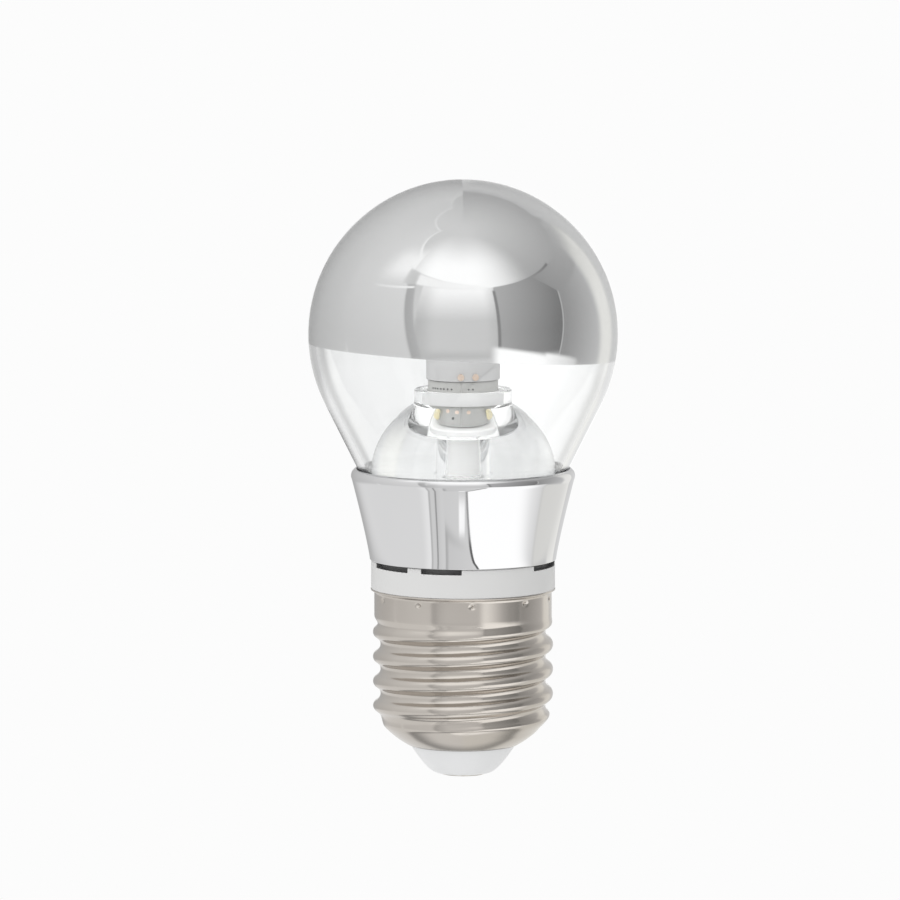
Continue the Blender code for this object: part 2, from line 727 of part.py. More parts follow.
def lens_ring():
    """A white ring that centres the lens's collar on the board."""
    top = LENS_TOP - RING_DROP
    inner = BOARD_RADIUS + GAP
    tube("lens_ring", LENS_BORE_RADIUS - GAP, inner, top - RING_HEIGHT, top, WHITE_BOARD)


# Driver

def driver():
    """The board that stands in the sleeve, with its parts on both faces."""
    size = (DRIVER_BOARD_WIDTH, DRIVER_BOARD_THICK, DRIVER_TOP - DRIVER_BOTTOM)
    block("driver_board", size, (0, 0, (DRIVER_BOTTOM + DRIVER_TOP) / 2), GREEN_BOARD)
    face = DRIVER_BOARD_THICK / 2 + GAP
    cylinder(
        "bulk_capacitor",
        CAPACITOR_RADIUS,
        CAPACITOR_HEIGHT,
        (0, face + CAPACITOR_RADIUS, DRIVER_TOP - CAPACITOR_DROP),
        DARK_SLEEVE,
        segments=24,
    )
    choke((0, face + CHOKE_RADIUS, DRIVER_BOTTOM + CHOKE_LIFT))
    on_front_face("film_capacitor", FILM_CAPACITOR_SIZE, FILM_CAPACITOR_SIDE,
                  DRIVER_TOP - FILM_CAPACITOR_DROP, BROWN_COAT, FILM_CAPACITOR_ROUNDING)
    on_front_face("rectifier", RECTIFIER_SIZE, RECTIFIER_SIDE,
                  DRIVER_TOP - RECTIFIER_DROP, BLACK_PLASTIC, PACKAGE_ROUNDING)
    on_front_face("driver_chip", DRIVER_CHIP_SIZE, DRIVER_CHIP_SIDE,
                  DRIVER_BOTTOM + DRIVER_CHIP_LIFT, BLACK_PLASTIC, PACKAGE_ROUNDING)
    cylinder(
        "fuse_resistor",
        RESISTOR_RADIUS,
        RESISTOR_LENGTH,
        (0, -face - RESISTOR_RADIUS, DRIVER_BOTTOM + RESISTOR_LIFT),
        GREEN_COAT,
        axis=(1, 0, 0),
    )


def on_front_face(name, size, side, height, paint, rounding):
    """A boxed part on the driver board's front face."""
    out = DRIVER_BOARD_THICK / 2 + GAP + size[1] / 2
    block(name, size, (side, -out, height), paint, rounding=rounding)


def choke(centre):
    """A drum core with its winding between two flanges."""
    half = CHOKE_HEIGHT / 2
    points = [
        (0, half),
        (CHOKE_RADIUS, half),
        (CHOKE_RADIUS, half - CHOKE_FLANGE),
        (CHOKE_WAIST, half - CHOKE_FLANGE),
        (CHOKE_WAIST, CHOKE_FLANGE - half),
        (CHOKE_RADIUS, CHOKE_FLANGE - half),
        (CHOKE_RADIUS, -half),
        (0, -half),
    ]
    turned("choke", points, WINDING, steps=16, closed=False).location = centre


def leads():
    """Leads from the board to the post, the contact and the shell."""
    for name, side, paint in (("led_lead_plus", 1, RED_COAT), ("led_lead_minus", -1, BLACK_COAT)):
        start = Vector((side * LEAD_START, 0, DRIVER_TOP + WIRE_RADIUS + GAP))
        hole = Vector((side * LEAD_SPREAD, 0, TAIL_BOTTOM - GAP))
        end = Vector((side * LEAD_SPREAD, 0, POST_TOP - LEAD_SHORT))
        wire(name, [start, (start + hole) / 2, hole, (hole + end) / 2, end], paint)
    top = DRIVER_BOTTOM - GAP
    stem_top = CONTACT_DISC + STEM_LENGTH + GAP
    bow = (WIRE_RADIUS, 0, (stem_top + top) / 2)
    wire("live_lead", [(0, 0, stem_top), bow, (0, 0, top)], RED_COAT)
    low = SLEEVE_BOTTOM - NEUTRAL_DROP
    wall = shell_radius(-90, low - SHELL_BOTTOM) - SHELL_WALL - 2 * GAP
    bend = ((wall + NEUTRAL_START) / 2, 0, low)
    path = [(NEUTRAL_START, 0, top), bend, (wall, 0, low)]
    wire("neutral_lead", [(-x, y, z) for x, y, z in path], BLACK_COAT)


contact_button()
insulator_tip()
screw_shell()
driver_housing()
reflector_housing()
globe_seat()
glass_globe()
mirror_lining()
base_plate()
led_post()
post_dressing()
led_chips()
copper_pads()
inner_lens()
lens_ring()
driver()
leads()
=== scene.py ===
"""A half-mirror LED bulb, dressed piece by piece in the order it is put together.

Lengths are metres. The bulb stands on its contact at the origin with its crown up, and its front
faces -Y. Turns round the axis are degrees counted from the front towards +X.
"""

import math

import bmesh
import bpy
from mathutils import Matrix, Vector


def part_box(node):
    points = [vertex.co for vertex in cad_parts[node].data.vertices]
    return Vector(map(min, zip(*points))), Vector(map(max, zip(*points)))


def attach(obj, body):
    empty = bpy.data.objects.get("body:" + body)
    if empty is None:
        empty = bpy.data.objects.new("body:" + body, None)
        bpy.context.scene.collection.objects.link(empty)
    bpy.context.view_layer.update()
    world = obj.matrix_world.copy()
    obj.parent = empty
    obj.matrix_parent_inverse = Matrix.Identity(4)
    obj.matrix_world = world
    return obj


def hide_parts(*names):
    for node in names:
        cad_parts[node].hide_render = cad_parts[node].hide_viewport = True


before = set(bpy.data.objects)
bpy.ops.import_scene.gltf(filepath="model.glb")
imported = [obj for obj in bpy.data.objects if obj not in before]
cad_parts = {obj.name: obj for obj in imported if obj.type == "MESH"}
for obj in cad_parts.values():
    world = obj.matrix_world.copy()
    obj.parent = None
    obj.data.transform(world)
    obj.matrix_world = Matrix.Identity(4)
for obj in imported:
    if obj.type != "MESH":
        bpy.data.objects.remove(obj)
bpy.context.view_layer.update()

MM = 0.001


# Centre contact
# A stamped disc of nickel-plated brass, riveted up through the insulator by its own stem.
# It carries the live side of the supply, so its face is worn bright where it touches.

CONTACT_THICK = 0.9 * MM
CONTACT_EDGE = 0.25 * MM
CONTACT_STEM_RADIUS = 1.2 * MM
DIMPLE_RIM = 0.45
DIMPLE_FLOOR = 0.35
DIMPLE_DEPTH = 0.12 * MM
DIMPLE_MIDDLE = 0.144 * MM
CONTACT_STEPS = 64


def add_node(tree, kind, values=None, **settings):
    """Adds a node, sets it up, and links or sets the inputs that are given."""
    made = tree.nodes.new(kind)
    for name, value in settings.items():
        setattr(made, name, value)
    for key, value in (values or {}).items():
        if isinstance(value, bpy.types.NodeSocket):
            tree.links.new(value, made.inputs[key])
        else:
            made.inputs[key].default_value = value
    return made


def smooth_step(tree, values):
    """The input's smooth rise from one value to another."""
    step = add_node(tree, "ShaderNodeMapRange", values, interpolation_type="SMOOTHSTEP")
    return step.outputs["Result"]


def new_group(name, inputs, outputs):
    """A shader group as (group, inlet, outlet), with a kind of socket that suits each value."""
    kinds = {0: "NodeSocketFloat", 3: "NodeSocketVector", 4: "NodeSocketColor"}
    group = bpy.data.node_groups.new(name, "ShaderNodeTree")
    for way, sockets in (("INPUT", inputs), ("OUTPUT", outputs)):
        for socket, value in sockets.items():
            parts = len(value) if isinstance(value, tuple) else 0
            made = group.interface.new_socket(socket, in_out=way, socket_type=kinds[parts])
            made.default_value = value
    return group, group.nodes.new("NodeGroupInput"), group.nodes.new("NodeGroupOutput")


def grain_group():
    """Fine stretched grain from object coordinates: a 0 to 1 value for bumps."""
    group, inlet, outlet = new_group(
        "fine grain", {"Scale": 800.0, "Stretch": (1.0, 1.0, 1.0), "Detail": 4.0}, {"Value": 0.0}
    )
    put = inlet.outputs
    where = add_node(group, "ShaderNodeTexCoord").outputs["Object"]
    stretched = add_node(
        group, "ShaderNodeVectorMath", {0: where, 1: put["Stretch"]}, operation="MULTIPLY"
    )
    values = {"Vector": stretched.outputs[0], "Scale": put["Scale"], "Detail": put["Detail"]}
    noise = add_node(group, "ShaderNodeTexNoise", {**values, "Roughness": 0.6})
    group.links.new(noise.outputs["Fac"], outlet.inputs["Value"])
    return group


def tone_group():
    """Slow drift between two close colours, as plating, paint and paper have."""
    group, inlet, outlet = new_group(
        "tone drift",
        {"Main": (0.8, 0.8, 0.8, 1.0), "Other": (0.7, 0.7, 0.7, 1.0), "Scale": 90.0},
        {"Color": (0.8, 0.8, 0.8, 1.0)},
    )
    put = inlet.outputs
    where = add_node(group, "ShaderNodeTexCoord").outputs["Object"]
    values = {"Vector": where, "Scale": put["Scale"], "Detail": 5.0}
    noise = add_node(group, "ShaderNodeTexNoise", values).outputs["Fac"]
    spread = smooth_step(group, {"Value": noise, "From Min": 0.35, "From Max": 0.65})
    tones = {0: spread, 6: put["Main"], 7: put["Other"]}
    mixed = add_node(group, "ShaderNodeMix", tones, data_type="RGBA")
    group.links.new(mixed.outputs[2], outlet.inputs["Color"])
    return group


def smudge_group():
    """Roughness that drifts between a clean and a handled value."""
    group, inlet, outlet = new_group(
        "smudges", {"Clean": 0.1, "Handled": 0.2, "Scale": 120.0}, {"Roughness": 0.0}
    )
    put = inlet.outputs
    where = add_node(group, "ShaderNodeTexCoord").outputs["Object"]
    values = {"Vector": where, "Scale": put["Scale"], "Detail": 6.0}
    noise = add_node(group, "ShaderNodeTexNoise", values).outputs["Fac"]
    ends = {"From Min": 0.4, "From Max": 0.7, "To Min": put["Clean"], "To Max": put["Handled"]}
    group.links.new(smooth_step(group, {"Value": noise, **ends}), outlet.inputs["Roughness"])
    return group


FINE_GRAIN = grain_group()
TONE_DRIFT = tone_group()
SMUDGES = smudge_group()


def new_finish(name, **sockets):
    """A material with plain values on its shader's own sockets."""
    finish = bpy.data.materials.new(name)
    finish.use_nodes = True
    shader = finish.node_tree.nodes["Principled BSDF"]
    for socket, value in sockets.items():
        shader.inputs[socket.replace("_", " ")].default_value = value
    return finish


def feed(finish, output, socket):
    """Links an output to a socket of the finish's own shader."""
    tree = finish.node_tree
    tree.links.new(output, tree.nodes["Principled BSDF"].inputs[socket])


def drift_tone(finish, main, other, scale):
    """Feeds Base Color with two close colours that drift over the piece."""
    values = {"Main": (*main, 1.0), "Other": (*other, 1.0), "Scale": scale}
    group = add_node(finish.node_tree, "ShaderNodeGroup", values, node_tree=TONE_DRIFT)
    feed(finish, group.outputs["Color"], "Base Color")


def smudge(finish, clean, handled, scale):
    """Feeds Roughness with a clean and a handled value."""
    values = {"Clean": clean, "Handled": handled, "Scale": scale}
    group = add_node(finish.node_tree, "ShaderNodeGroup", values, node_tree=SMUDGES)
    feed(finish, group.outputs["Roughness"], "Roughness")


def bump(finish, surface, strength, height):
    """Feeds Normal with bumps of the given height in metres."""
    values = {"Height": surface, "Strength": strength, "Distance": height}
    made = add_node(finish.node_tree, "ShaderNodeBump", values)
    feed(finish, made.outputs["Normal"], "Normal")


def grain_bump(finish, scale, height, stretch=(1.0, 1.0, 1.0), strength=0.3, detail=4.0):
    """Gives the finish a fine grain of the given height in metres."""
    values = {"Scale": scale, "Stretch": stretch, "Detail": detail}
    group = add_node(finish.node_tree, "ShaderNodeGroup", values, node_tree=FINE_GRAIN)
    bump(finish, group.outputs["Value"], strength, height)


FULL_TURN = 2 * math.pi
TOUCHING = 0.0005 * MM


def spun(profile, steps=96, closed=True, angle=FULL_TURN):
    """A bmesh of a line of (radius, height) points, spun round the bulb's axis."""
    shape = bmesh.new()
    verts = [shape.verts.new((radius, 0, height)) for radius, height in profile]
    ends = [*verts[1:], verts[0]] if closed else verts[1:]
    edges = [shape.edges.new(pair) for pair in zip(verts, ends)]
    bmesh.ops.spin(
        shape,
        geom=[*verts, *edges],
        cent=(0, 0, 0),
        axis=(0, 0, 1),
        angle=angle,
        steps=steps,
        use_merge=angle == FULL_TURN,
    )
    bmesh.ops.remove_doubles(shape, verts=shape.verts, dist=TOUCHING)
    bmesh.ops.recalc_face_normals(shape, faces=shape.faces)
    return shape


def finished(name, shape, finish, smooth=35.0, rounding=0.0, segments=2):
    """Makes the piece from its bmesh, softens its sharp edges, and lets it ride on the bulb."""
    mesh = bpy.data.meshes.new(name)
    shape.to_mesh(mesh)
    shape.free()
    mesh.materials.append(finish)
    piece = bpy.data.objects.new(name, mesh)
    bpy.context.scene.collection.objects.link(piece)
    sharp = smooth
    if rounding:
        bevel = piece.modifiers.new("soft edges", "BEVEL")
        bevel.width = rounding
        bevel.segments = segments
        bevel.limit_method = "ANGLE"
        bevel.angle_limit = math.radians(smooth)
        sharp = smooth + 20.0
    mesh.shade_smooth()
    mesh.set_sharp_from_angle(angle=math.radians(sharp))
    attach(piece, "root")
    return piece


contact_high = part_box("contact_button")[1]
contact_radius = contact_high.x
contact_shape = spun(
    [
        (0, contact_high.z),
        (CONTACT_STEM_RADIUS, contact_high.z),
        (CONTACT_STEM_RADIUS, CONTACT_THICK),
        (contact_radius, CONTACT_THICK),
        (contact_radius, CONTACT_EDGE),
        (contact_radius - CONTACT_EDGE, 0),
        (contact_radius * DIMPLE_RIM, 0),
        (contact_radius * DIMPLE_FLOOR, DIMPLE_DEPTH),
        (0, DIMPLE_MIDDLE),
    ],
    steps=CONTACT_STEPS,
    closed=False,
)
contact_metal = new_finish("worn contact metal", Metallic=1.0)
drift_tone(contact_metal, (0.72, 0.70, 0.66), (0.58, 0.54, 0.48), scale=500.0)
smudge(contact_metal, 0.22, 0.40, scale=700.0)
grain_bump(contact_metal, 2500.0, 0.02 * MM)
contact = finished("contact", contact_shape, contact_metal, rounding=0.08 * MM)
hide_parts("contact_button")


# Insulator
# A white moulded tip, pressed into the shell's rolled mouth, that keeps the contact off the
# shell. Its outside narrows in one soft curve to a flat end with a rounded edge.

FIT_GAP = 0.3 * MM
TIP_END_RADIUS = 4.15 * MM
TIP_CURVE = 0.72
TIP_STEPS = 24
TIP_FLUSH = 0.15 * MM
TIP_WALL = 1.6 * MM
TIP_RECESS = 1.2 * MM
TIP_HOLE_RADIUS = 1.5 * MM

tip_low, tip_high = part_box("insulator_tip")
shell_low, shell_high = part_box("screw_shell")
tip_mouth = tip_high.x + TIP_FLUSH
recess_radius = contact_radius + FIT_GAP
tip_outer = []
for step in range(TIP_STEPS + 1):
    share = 1 - step / TIP_STEPS
    radius = TIP_END_RADIUS + (tip_mouth - TIP_END_RADIUS) * share**TIP_CURVE
    tip_outer.append((radius, tip_low.z + (shell_low.z - tip_low.z) * share))
tip_floor = shell_low.z - FIT_GAP
tip_shape = spun(
    [
        (tip_mouth, tip_high.z),
        *tip_outer,
        (recess_radius, tip_low.z),
        (recess_radius, TIP_RECESS),
        (TIP_HOLE_RADIUS, TIP_RECESS),
        (TIP_HOLE_RADIUS, tip_floor),
        (tip_mouth - TIP_WALL, tip_floor),
        (tip_mouth - TIP_WALL, tip_high.z),
    ],
)
tip_plastic = new_finish("white insulator plastic", Roughness=0.38, IOR=1.49)
drift_tone(tip_plastic, (0.80, 0.805, 0.81), (0.78, 0.785, 0.79), scale=60.0)
smudge(tip_plastic, 0.34, 0.44, scale=260.0)
grain_bump(tip_plastic, 4000.0, 0.01 * MM, strength=0.25)
tip = finished("insulator", tip_shape, tip_plastic, rounding=0.3 * MM, segments=3)
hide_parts("insulator_tip")


# Screw shell
# Nickel-plated brass drawn to a cup and rolled with the round thread of a screw cap. Its top band
# is staked to the plastic by small punch marks, and the drawing leaves faint upright lines.

THREAD_CREST_RADIUS = 13.15 * MM
THREAD_ROOT_RADIUS = 12.05 * MM
THREAD_PITCH = 3.629 * MM
THREAD_PHASE = 11.05 * MM
THREAD_PHASE_TURN = 90.0
THREAD_ARC = 1.13
THREAD_START = 1.6 * MM
THREAD_RUN_IN = 4.3 * MM
THREAD_END = 19.0 * MM
THREAD_RUN_OUT = 2.0 * MM
THREAD_ROWS = 84
SHELL_WALL = 0.3 * MM
SHELL_MOUTH_RADIUS = 8.1 * MM
SHELL_BAND_RADIUS = 12.95 * MM
SHELL_BAND_ROW = 0.5 * MM
SHELL_LIP = 0.45 * MM
SHELL_LIP_ROWS = (1.0, 0.85, 0.6, 0.3, 0.0)
SHELL_LIP_FLARE = 0.7
SHELL_ROUNDNESS = 2.3
SHELL_STEPS = 300
STAKE_TURNS = [-64.0, -30.0, 6.0, 44.0, 75.0, 115.0, 151.0, 187.0, 223.0, 259.0]
STAKE_RADIUS = 0.4 * MM
STAKE_DEPTH = 0.45 * MM
STAKE_DROP = 1.2 * MM
STAKE_ROW = 0.12 * MM
STAKE_SHARPNESS = 2.2
STAKE_REACH = 2.0


def direction(turn):
    """The unit vector at a turn round the axis, 0 at the front."""
    angle = math.radians(turn)
    return Vector((math.sin(angle), -math.cos(angle), 0))


def ramp(value, start, length):
    """0 below start, 1 past start plus length, and a smooth rise between them."""
    share = min(max((value - start) / length, 0.0), 1.0)
    return share * share * (3 - 2 * share)


def thread_wave(turns):
    """The round thread's profile, 1 at a crest and -1 in a root, from two arcs that meet."""
    part = (turns + 0.25) % 1.0
    away = 4 * part - 1 if part < 0.5 else 4 * part - 3
    flat = math.sqrt(THREAD_ARC**2 - 1)
    rise = (math.sqrt(THREAD_ARC**2 - away * away) - flat) / (THREAD_ARC - flat)
    return rise if part < 0.5 else -rise


def shell_radius(turn, height):
    """The shell's outer radius over its mouth, with its rounded right-hand thread."""
    mean = (THREAD_CREST_RADIUS + THREAD_ROOT_RADIUS) / 2
    depth = (THREAD_CREST_RADIUS - THREAD_ROOT_RADIUS) / 2
    share = min(height / (THREAD_START + THREAD_RUN_IN), 1.0)
    cup = SHELL_MOUTH_RADIUS + (mean - SHELL_MOUTH_RADIUS) * (1 - (1 - share) ** SHELL_ROUNDNESS)
    climb = (turn - THREAD_PHASE_TURN) / 360 * THREAD_PITCH
    wave = thread_wave((height - THREAD_PHASE - climb) / THREAD_PITCH)
    threaded = cup + wave * depth * ramp(height, THREAD_START, THREAD_RUN_IN)
    smooth = ramp(height, THREAD_END - THREAD_RUN_OUT, THREAD_RUN_OUT)
    return threaded + (SHELL_BAND_RADIUS - threaded) * smooth


shell_height = shell_high.z - shell_low.z
shell_rows = [THREAD_END * i / THREAD_ROWS for i in range(THREAD_ROWS + 1)]
shell_rows += [THREAD_END + SHELL_BAND_ROW * i for i in range(1, 4)]
stake_height = shell_height - STAKE_DROP
shell_rows += [stake_height + STAKE_ROW * i for i in range(-6, 5)]
shell_rows += [shell_height - SHELL_LIP * share for share in SHELL_LIP_ROWS]
band = [(SHELL_BAND_RADIUS, row) for row in shell_rows]
shell_shape = spun(band, steps=SHELL_STEPS, closed=False)
lip_radius = shell_high.x
for vert in shell_shape.verts:
    height = vert.co.z
    turn = math.degrees(math.atan2(vert.co.x, -vert.co.y))
    radius = shell_radius(turn, height)
    flare = ramp(height, shell_height - SHELL_LIP, SHELL_LIP * SHELL_LIP_FLARE)
    radius += (lip_radius - radius) * flare
    for stake in STAKE_TURNS:
        across = math.radians((turn - stake + 180) % 360 - 180) * radius
        away = math.hypot(across, height - stake_height) / STAKE_RADIUS
        if away < STAKE_REACH:
            radius -= STAKE_DEPTH * math.exp(-STAKE_SHARPNESS * away * away)
    vert.co = radius * direction(turn) + Vector((0, 0, shell_low.z + height))
bmesh.ops.recalc_face_normals(shell_shape, faces=shell_shape.faces)
nickel = new_finish("satin nickel plate", Metallic=1.0)
drift_tone(nickel, (0.61, 0.57, 0.525), (0.57, 0.53, 0.485), scale=60.0)
smudge(nickel, 0.15, 0.19, scale=60.0)
grain_bump(nickel, 2600.0, 0.01 * MM, stretch=(1.0, 1.0, 0.04), strength=0.10, detail=1.0)
shell = finished("threaded_shell", shell_shape, nickel, smooth=60.0)
shell_wall = shell.modifiers.new("wall", "SOLIDIFY")
shell_wall.thickness = SHELL_WALL
shell_wall.offset = -1
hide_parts("screw_shell")


# Leads to the cap
# Two stranded leads in soft sleeving: the live one is soldered to the contact's stem and the
# neutral one lies against the shell's wall.


def dress(node, finish):
    """Gives a carried-over node its finish."""
    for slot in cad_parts[node].material_slots:
        slot.material = finish


red_sleeving = new_finish("red lead sleeving", Roughness=0.4)
drift_tone(red_sleeving, (0.55, 0.05, 0.04), (0.48, 0.04, 0.03), scale=400.0)
grain_bump(red_sleeving, 3000.0, 0.01 * MM, stretch=(1.0, 1.0, 0.1))
dress("live_lead", red_sleeving)
black_sleeving = new_finish("black lead sleeving", Roughness=0.4)
drift_tone(black_sleeving, (0.03, 0.03, 0.03), (0.045, 0.045, 0.045), scale=400.0)
grain_bump(black_sleeving, 3000.0, 0.01 * MM, stretch=(1.0, 1.0, 0.1))
dress("neutral_lead", black_sleeving)


# Driver board and its parts
# A narrow glass-fibre board slides into the housing on edge. It carries a can capacitor, a choke
# and a rectifier behind, and a film capacitor, a driver chip and a fuse resistor in front.

board_green = new_finish("green glass-fibre board", Roughness=0.4)
drift_tone(board_green, (0.10, 0.27, 0.14), (0.08, 0.23, 0.12), scale=150.0)
smudge(board_green, 0.34, 0.48, scale=300.0)
grain_bump(board_green, 1500.0, 0.01 * MM, stretch=(1.0, 0.1, 1.0))
dress("driver_board", board_green)
can_sleeve = new_finish("shrunk dark can sleeve", Roughness=0.35)
drift_tone(can_sleeve, (0.04, 0.05, 0.09), (0.05, 0.06, 0.10), scale=200.0)
grain_bump(can_sleeve, 1200.0, 0.02 * MM, stretch=(1.0, 1.0, 0.2))
dress("bulk_capacitor", can_sleeve)
dipped_brown = new_finish("dipped film capacitor", Roughness=0.3)
drift_tone(dipped_brown, (0.50, 0.24, 0.08), (0.44, 0.20, 0.07), scale=300.0)
grain_bump(dipped_brown, 700.0, 0.03 * MM, strength=0.4)
dress("film_capacitor", dipped_brown)
black_package = new_finish("black moulded package", Roughness=0.55)
drift_tone(black_package, (0.03, 0.03, 0.03), (0.04, 0.04, 0.04), scale=600.0)
grain_bump(black_package, 5000.0, 0.01 * MM, strength=0.5)
dress("rectifier", black_package)
dress("driver_chip", black_package)
green_cement = new_finish("green resistor coat", Roughness=0.5)
drift_tone(green_cement, (0.22, 0.36, 0.24), (0.18, 0.31, 0.20), scale=500.0)
grain_bump(green_cement, 1800.0, 0.02 * MM, strength=0.4)
dress("fuse_resistor", green_cement)

WIRE_ROW = 0.35 * MM
WIRE_HEIGHT = 0.1 * MM


def maths(tree, operation, first, second=0.0):
    """The result of one step of reckoning in a shader."""
    return add_node(tree, "ShaderNodeMath", {0: first, 1: second}, operation=operation).outputs[0]


def winding_group():
    """Round turns of wire laid side by side: a height across them and a darker tone in the gaps, painted
    shade between the turns.
    """
    group, inlet, outlet = new_group(
        "wire turns",
        {"Turns": 2500.0, "Wire": (0.5, 0.2, 0.1, 1.0), "Gap Shade": (0.1, 0.05, 0.03, 1.0)},
        {"Color": (0.5, 0.2, 0.1, 1.0), "Height": 0.0},
    )
    put = inlet.outputs
    where = add_node(group, "ShaderNodeTexCoord").outputs["Object"]
    up = add_node(group, "ShaderNodeSeparateXYZ", {0: where}).outputs["Z"]
    wave = maths(group, "SINE", maths(group, "MULTIPLY", up, put["Turns"]))
    height = maths(group, "ABSOLUTE", wave)
    laid = add_node(
        group, "ShaderNodeMix", {0: height, 6: put["Gap Shade"], 7: put["Wire"]}, data_type="RGBA"
    )
    group.links.new(laid.outputs[2], outlet.inputs["Color"])
    group.links.new(height, outlet.inputs["Height"])
    return group


copper_turns = new_finish("enamelled copper turns", Metallic=0.7, Roughness=0.3)
# The gap colour is painted shade: it darkens the creases between the round turns.
winding = {
    "Turns": math.pi / WIRE_ROW,
    "Wire": (0.65, 0.33, 0.17, 1.0),
    "Gap Shade": (0.12, 0.05, 0.03, 1.0),
}
turns = add_node(
    copper_turns.node_tree, "ShaderNodeGroup", winding, node_tree=winding_group()
)
feed(copper_turns, turns.outputs["Color"], "Base Color")
bump(copper_turns, turns.outputs["Height"], 0.6, WIRE_HEIGHT)
dress("choke", copper_turns)


# Driver housing
# One white moulding: the ring that shows between the cap and the chrome, and the sleeve hidden in
# both. Shallow vent slots run round the ring's top edge, with ribs of plastic left between them.

SKIRT_ROUNDING = 0.12 * MM
SKIRT_LOWER_JOINT = 0.05 * MM
SKIRT_UPPER_JOINT = 0.06 * MM
SKIRT_STEPS = 360
SLOT_HEIGHT = 0.72 * MM
SLOT_DEPTH = 0.9 * MM
SLOT_ARCS = [(-70, -37), (-27, -1)]
SLOT_REPEATS = (0, 120, 240)
UPPER_SLEEVE_RADIUS = 12.3 * MM
LOWER_SLEEVE_RADIUS = 11.45 * MM
SLEEVE_WALL = 1.3 * MM
FINE_SLACK = 0.001 * MM
SLACK = 0.01 * MM

sleeve_low, sleeve_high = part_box("driver_housing")
chrome_low, chrome_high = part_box("reflector_housing")
skirt_radius = sleeve_high.x
skirt_bottom = shell_high.z + SKIRT_LOWER_JOINT
skirt_top = chrome_low.z - SKIRT_UPPER_JOINT
ledge_radius = skirt_radius - SLOT_DEPTH
slot_floor = skirt_top - SLOT_HEIGHT
ring_shape = spun(
    [
        (UPPER_SLEEVE_RADIUS, sleeve_high.z),
        (UPPER_SLEEVE_RADIUS, skirt_top),
        (ledge_radius, skirt_top),
        (skirt_radius, skirt_top),
        (skirt_radius, slot_floor),
        (skirt_radius, skirt_bottom),
        (LOWER_SLEEVE_RADIUS, skirt_bottom),
        (LOWER_SLEEVE_RADIUS, sleeve_low.z),
        (LOWER_SLEEVE_RADIUS - SLEEVE_WALL, sleeve_low.z),
        (LOWER_SLEEVE_RADIUS - SLEEVE_WALL, skirt_bottom),
        (UPPER_SLEEVE_RADIUS - SLEEVE_WALL, skirt_top),
        (UPPER_SLEEVE_RADIUS - SLEEVE_WALL, sleeve_high.z),
    ],
    steps=SKIRT_STEPS,
)


def in_slot(place):
    """True where a point round the ring lies in one of the vent slots."""
    turn = math.degrees(math.atan2(place.x, -place.y))
    for shift in SLOT_REPEATS:
        for first, last in SLOT_ARCS:
            if 0 < (turn - first - shift) % 360 < last - first:
                return True
    return False


def ring_faces(low, high, near, far, slots_only=True):
    """The ring's faces, or those in its slots, with centres in a band of heights and radii."""
    found = []
    for face in ring_shape.faces:
        centre = face.calc_center_median()
        radius = math.hypot(centre.x, centre.y)
        if low <= centre.z <= high and near <= radius <= far:
            if in_slot(centre) or not slots_only:
                found.append(face)
    return found


slot_tops = ring_faces(skirt_top - FINE_SLACK, skirt_top + FINE_SLACK, ledge_radius, skirt_radius)
sunk = bmesh.ops.extrude_face_region(ring_shape, geom=slot_tops)
sunk_verts = [item for item in sunk["geom"] if isinstance(item, bmesh.types.BMVert)]
bmesh.ops.translate(ring_shape, verts=sunk_verts, vec=(0, 0, -SLOT_HEIGHT))
bmesh.ops.delete(ring_shape, geom=slot_tops, context="FACES_ONLY")
outside = (skirt_radius - SLACK, skirt_radius + SLACK)
slot_fronts = ring_faces(slot_floor + FINE_SLACK, skirt_top - FINE_SLACK, *outside)
bmesh.ops.delete(ring_shape, geom=slot_fronts, context="FACES")
bmesh.ops.remove_doubles(ring_shape, verts=ring_shape.verts, dist=FINE_SLACK)
bmesh.ops.recalc_face_normals(ring_shape, faces=ring_shape.faces)
inside = (ledge_radius - SLACK, skirt_radius - SLACK)
slot_walls = ring_faces(slot_floor - FINE_SLACK, skirt_top - FINE_SLACK, *inside, slots_only=False)
for face in slot_walls:
    face.material_index = 1
white_plastic = new_finish("white moulded plastic", Roughness=0.38, IOR=1.49)
drift_tone(white_plastic, (0.62, 0.62, 0.615), (0.60, 0.60, 0.595), scale=40.0)
smudge(white_plastic, 0.34, 0.44, scale=260.0)
grain_bump(white_plastic, 4000.0, 0.01 * MM, strength=0.25)
# The slots' walls and floors take a flat dark grey: painted shade, standing for the shadow inside the
# vents.
vent_painted_shade = new_finish("painted shade in the vents", Roughness=0.6)
drift_tone(vent_painted_shade, (0.14, 0.14, 0.14), (0.11, 0.11, 0.11), scale=300.0)
ring = finished("white_ring", ring_shape, white_plastic, rounding=SKIRT_ROUNDING)
ring.data.materials.append(vent_painted_shade)
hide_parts("driver_housing")


# Chrome housing
# A flared die casting, polished and plated like a mirror. It sits on the ring's ledge, and its
# rounded rim holds the globe's neck from outside.

HOUSING_FLARE = 1.15
HOUSING_FOOT_RADIUS = 13.6 * MM
HOUSING_WALL = 1.0 * MM
HOUSING_LIP_WALL = 0.8 * MM
HOUSING_BEAD = 1.15 * MM
HOUSING_LEDGE_DROP = 5.0 * MM
HOUSING_LEDGE_THICK = 1.0 * MM
FLARE_STEPS = 24
BEAD_STEPS = 12
CHROME_STEPS = 192

chrome_wide = chrome_high.x
chrome_height = chrome_high.z - chrome_low.z
chrome_mouth = chrome_wide - HOUSING_LIP_WALL


def arc(centre_r, centre_z, radius_r, radius_z, first, last, count):
    """Points on an ellipse from one angle to another, 0 along +r and 90 along +z."""
    angles = [math.radians(first + (last - first) * i / count) for i in range(count + 1)]
    return [
        (centre_r + radius_r * math.cos(a), centre_z + radius_z * math.sin(a)) for a in angles
    ]


def flare_radius(height):
    """The flared outside of the chrome housing at a height over its foot."""
    share = max(height / (chrome_height - HOUSING_BEAD), 0.0) ** HOUSING_FLARE
    return HOUSING_FOOT_RADIUS + (chrome_wide - HOUSING_FOOT_RADIUS) * share


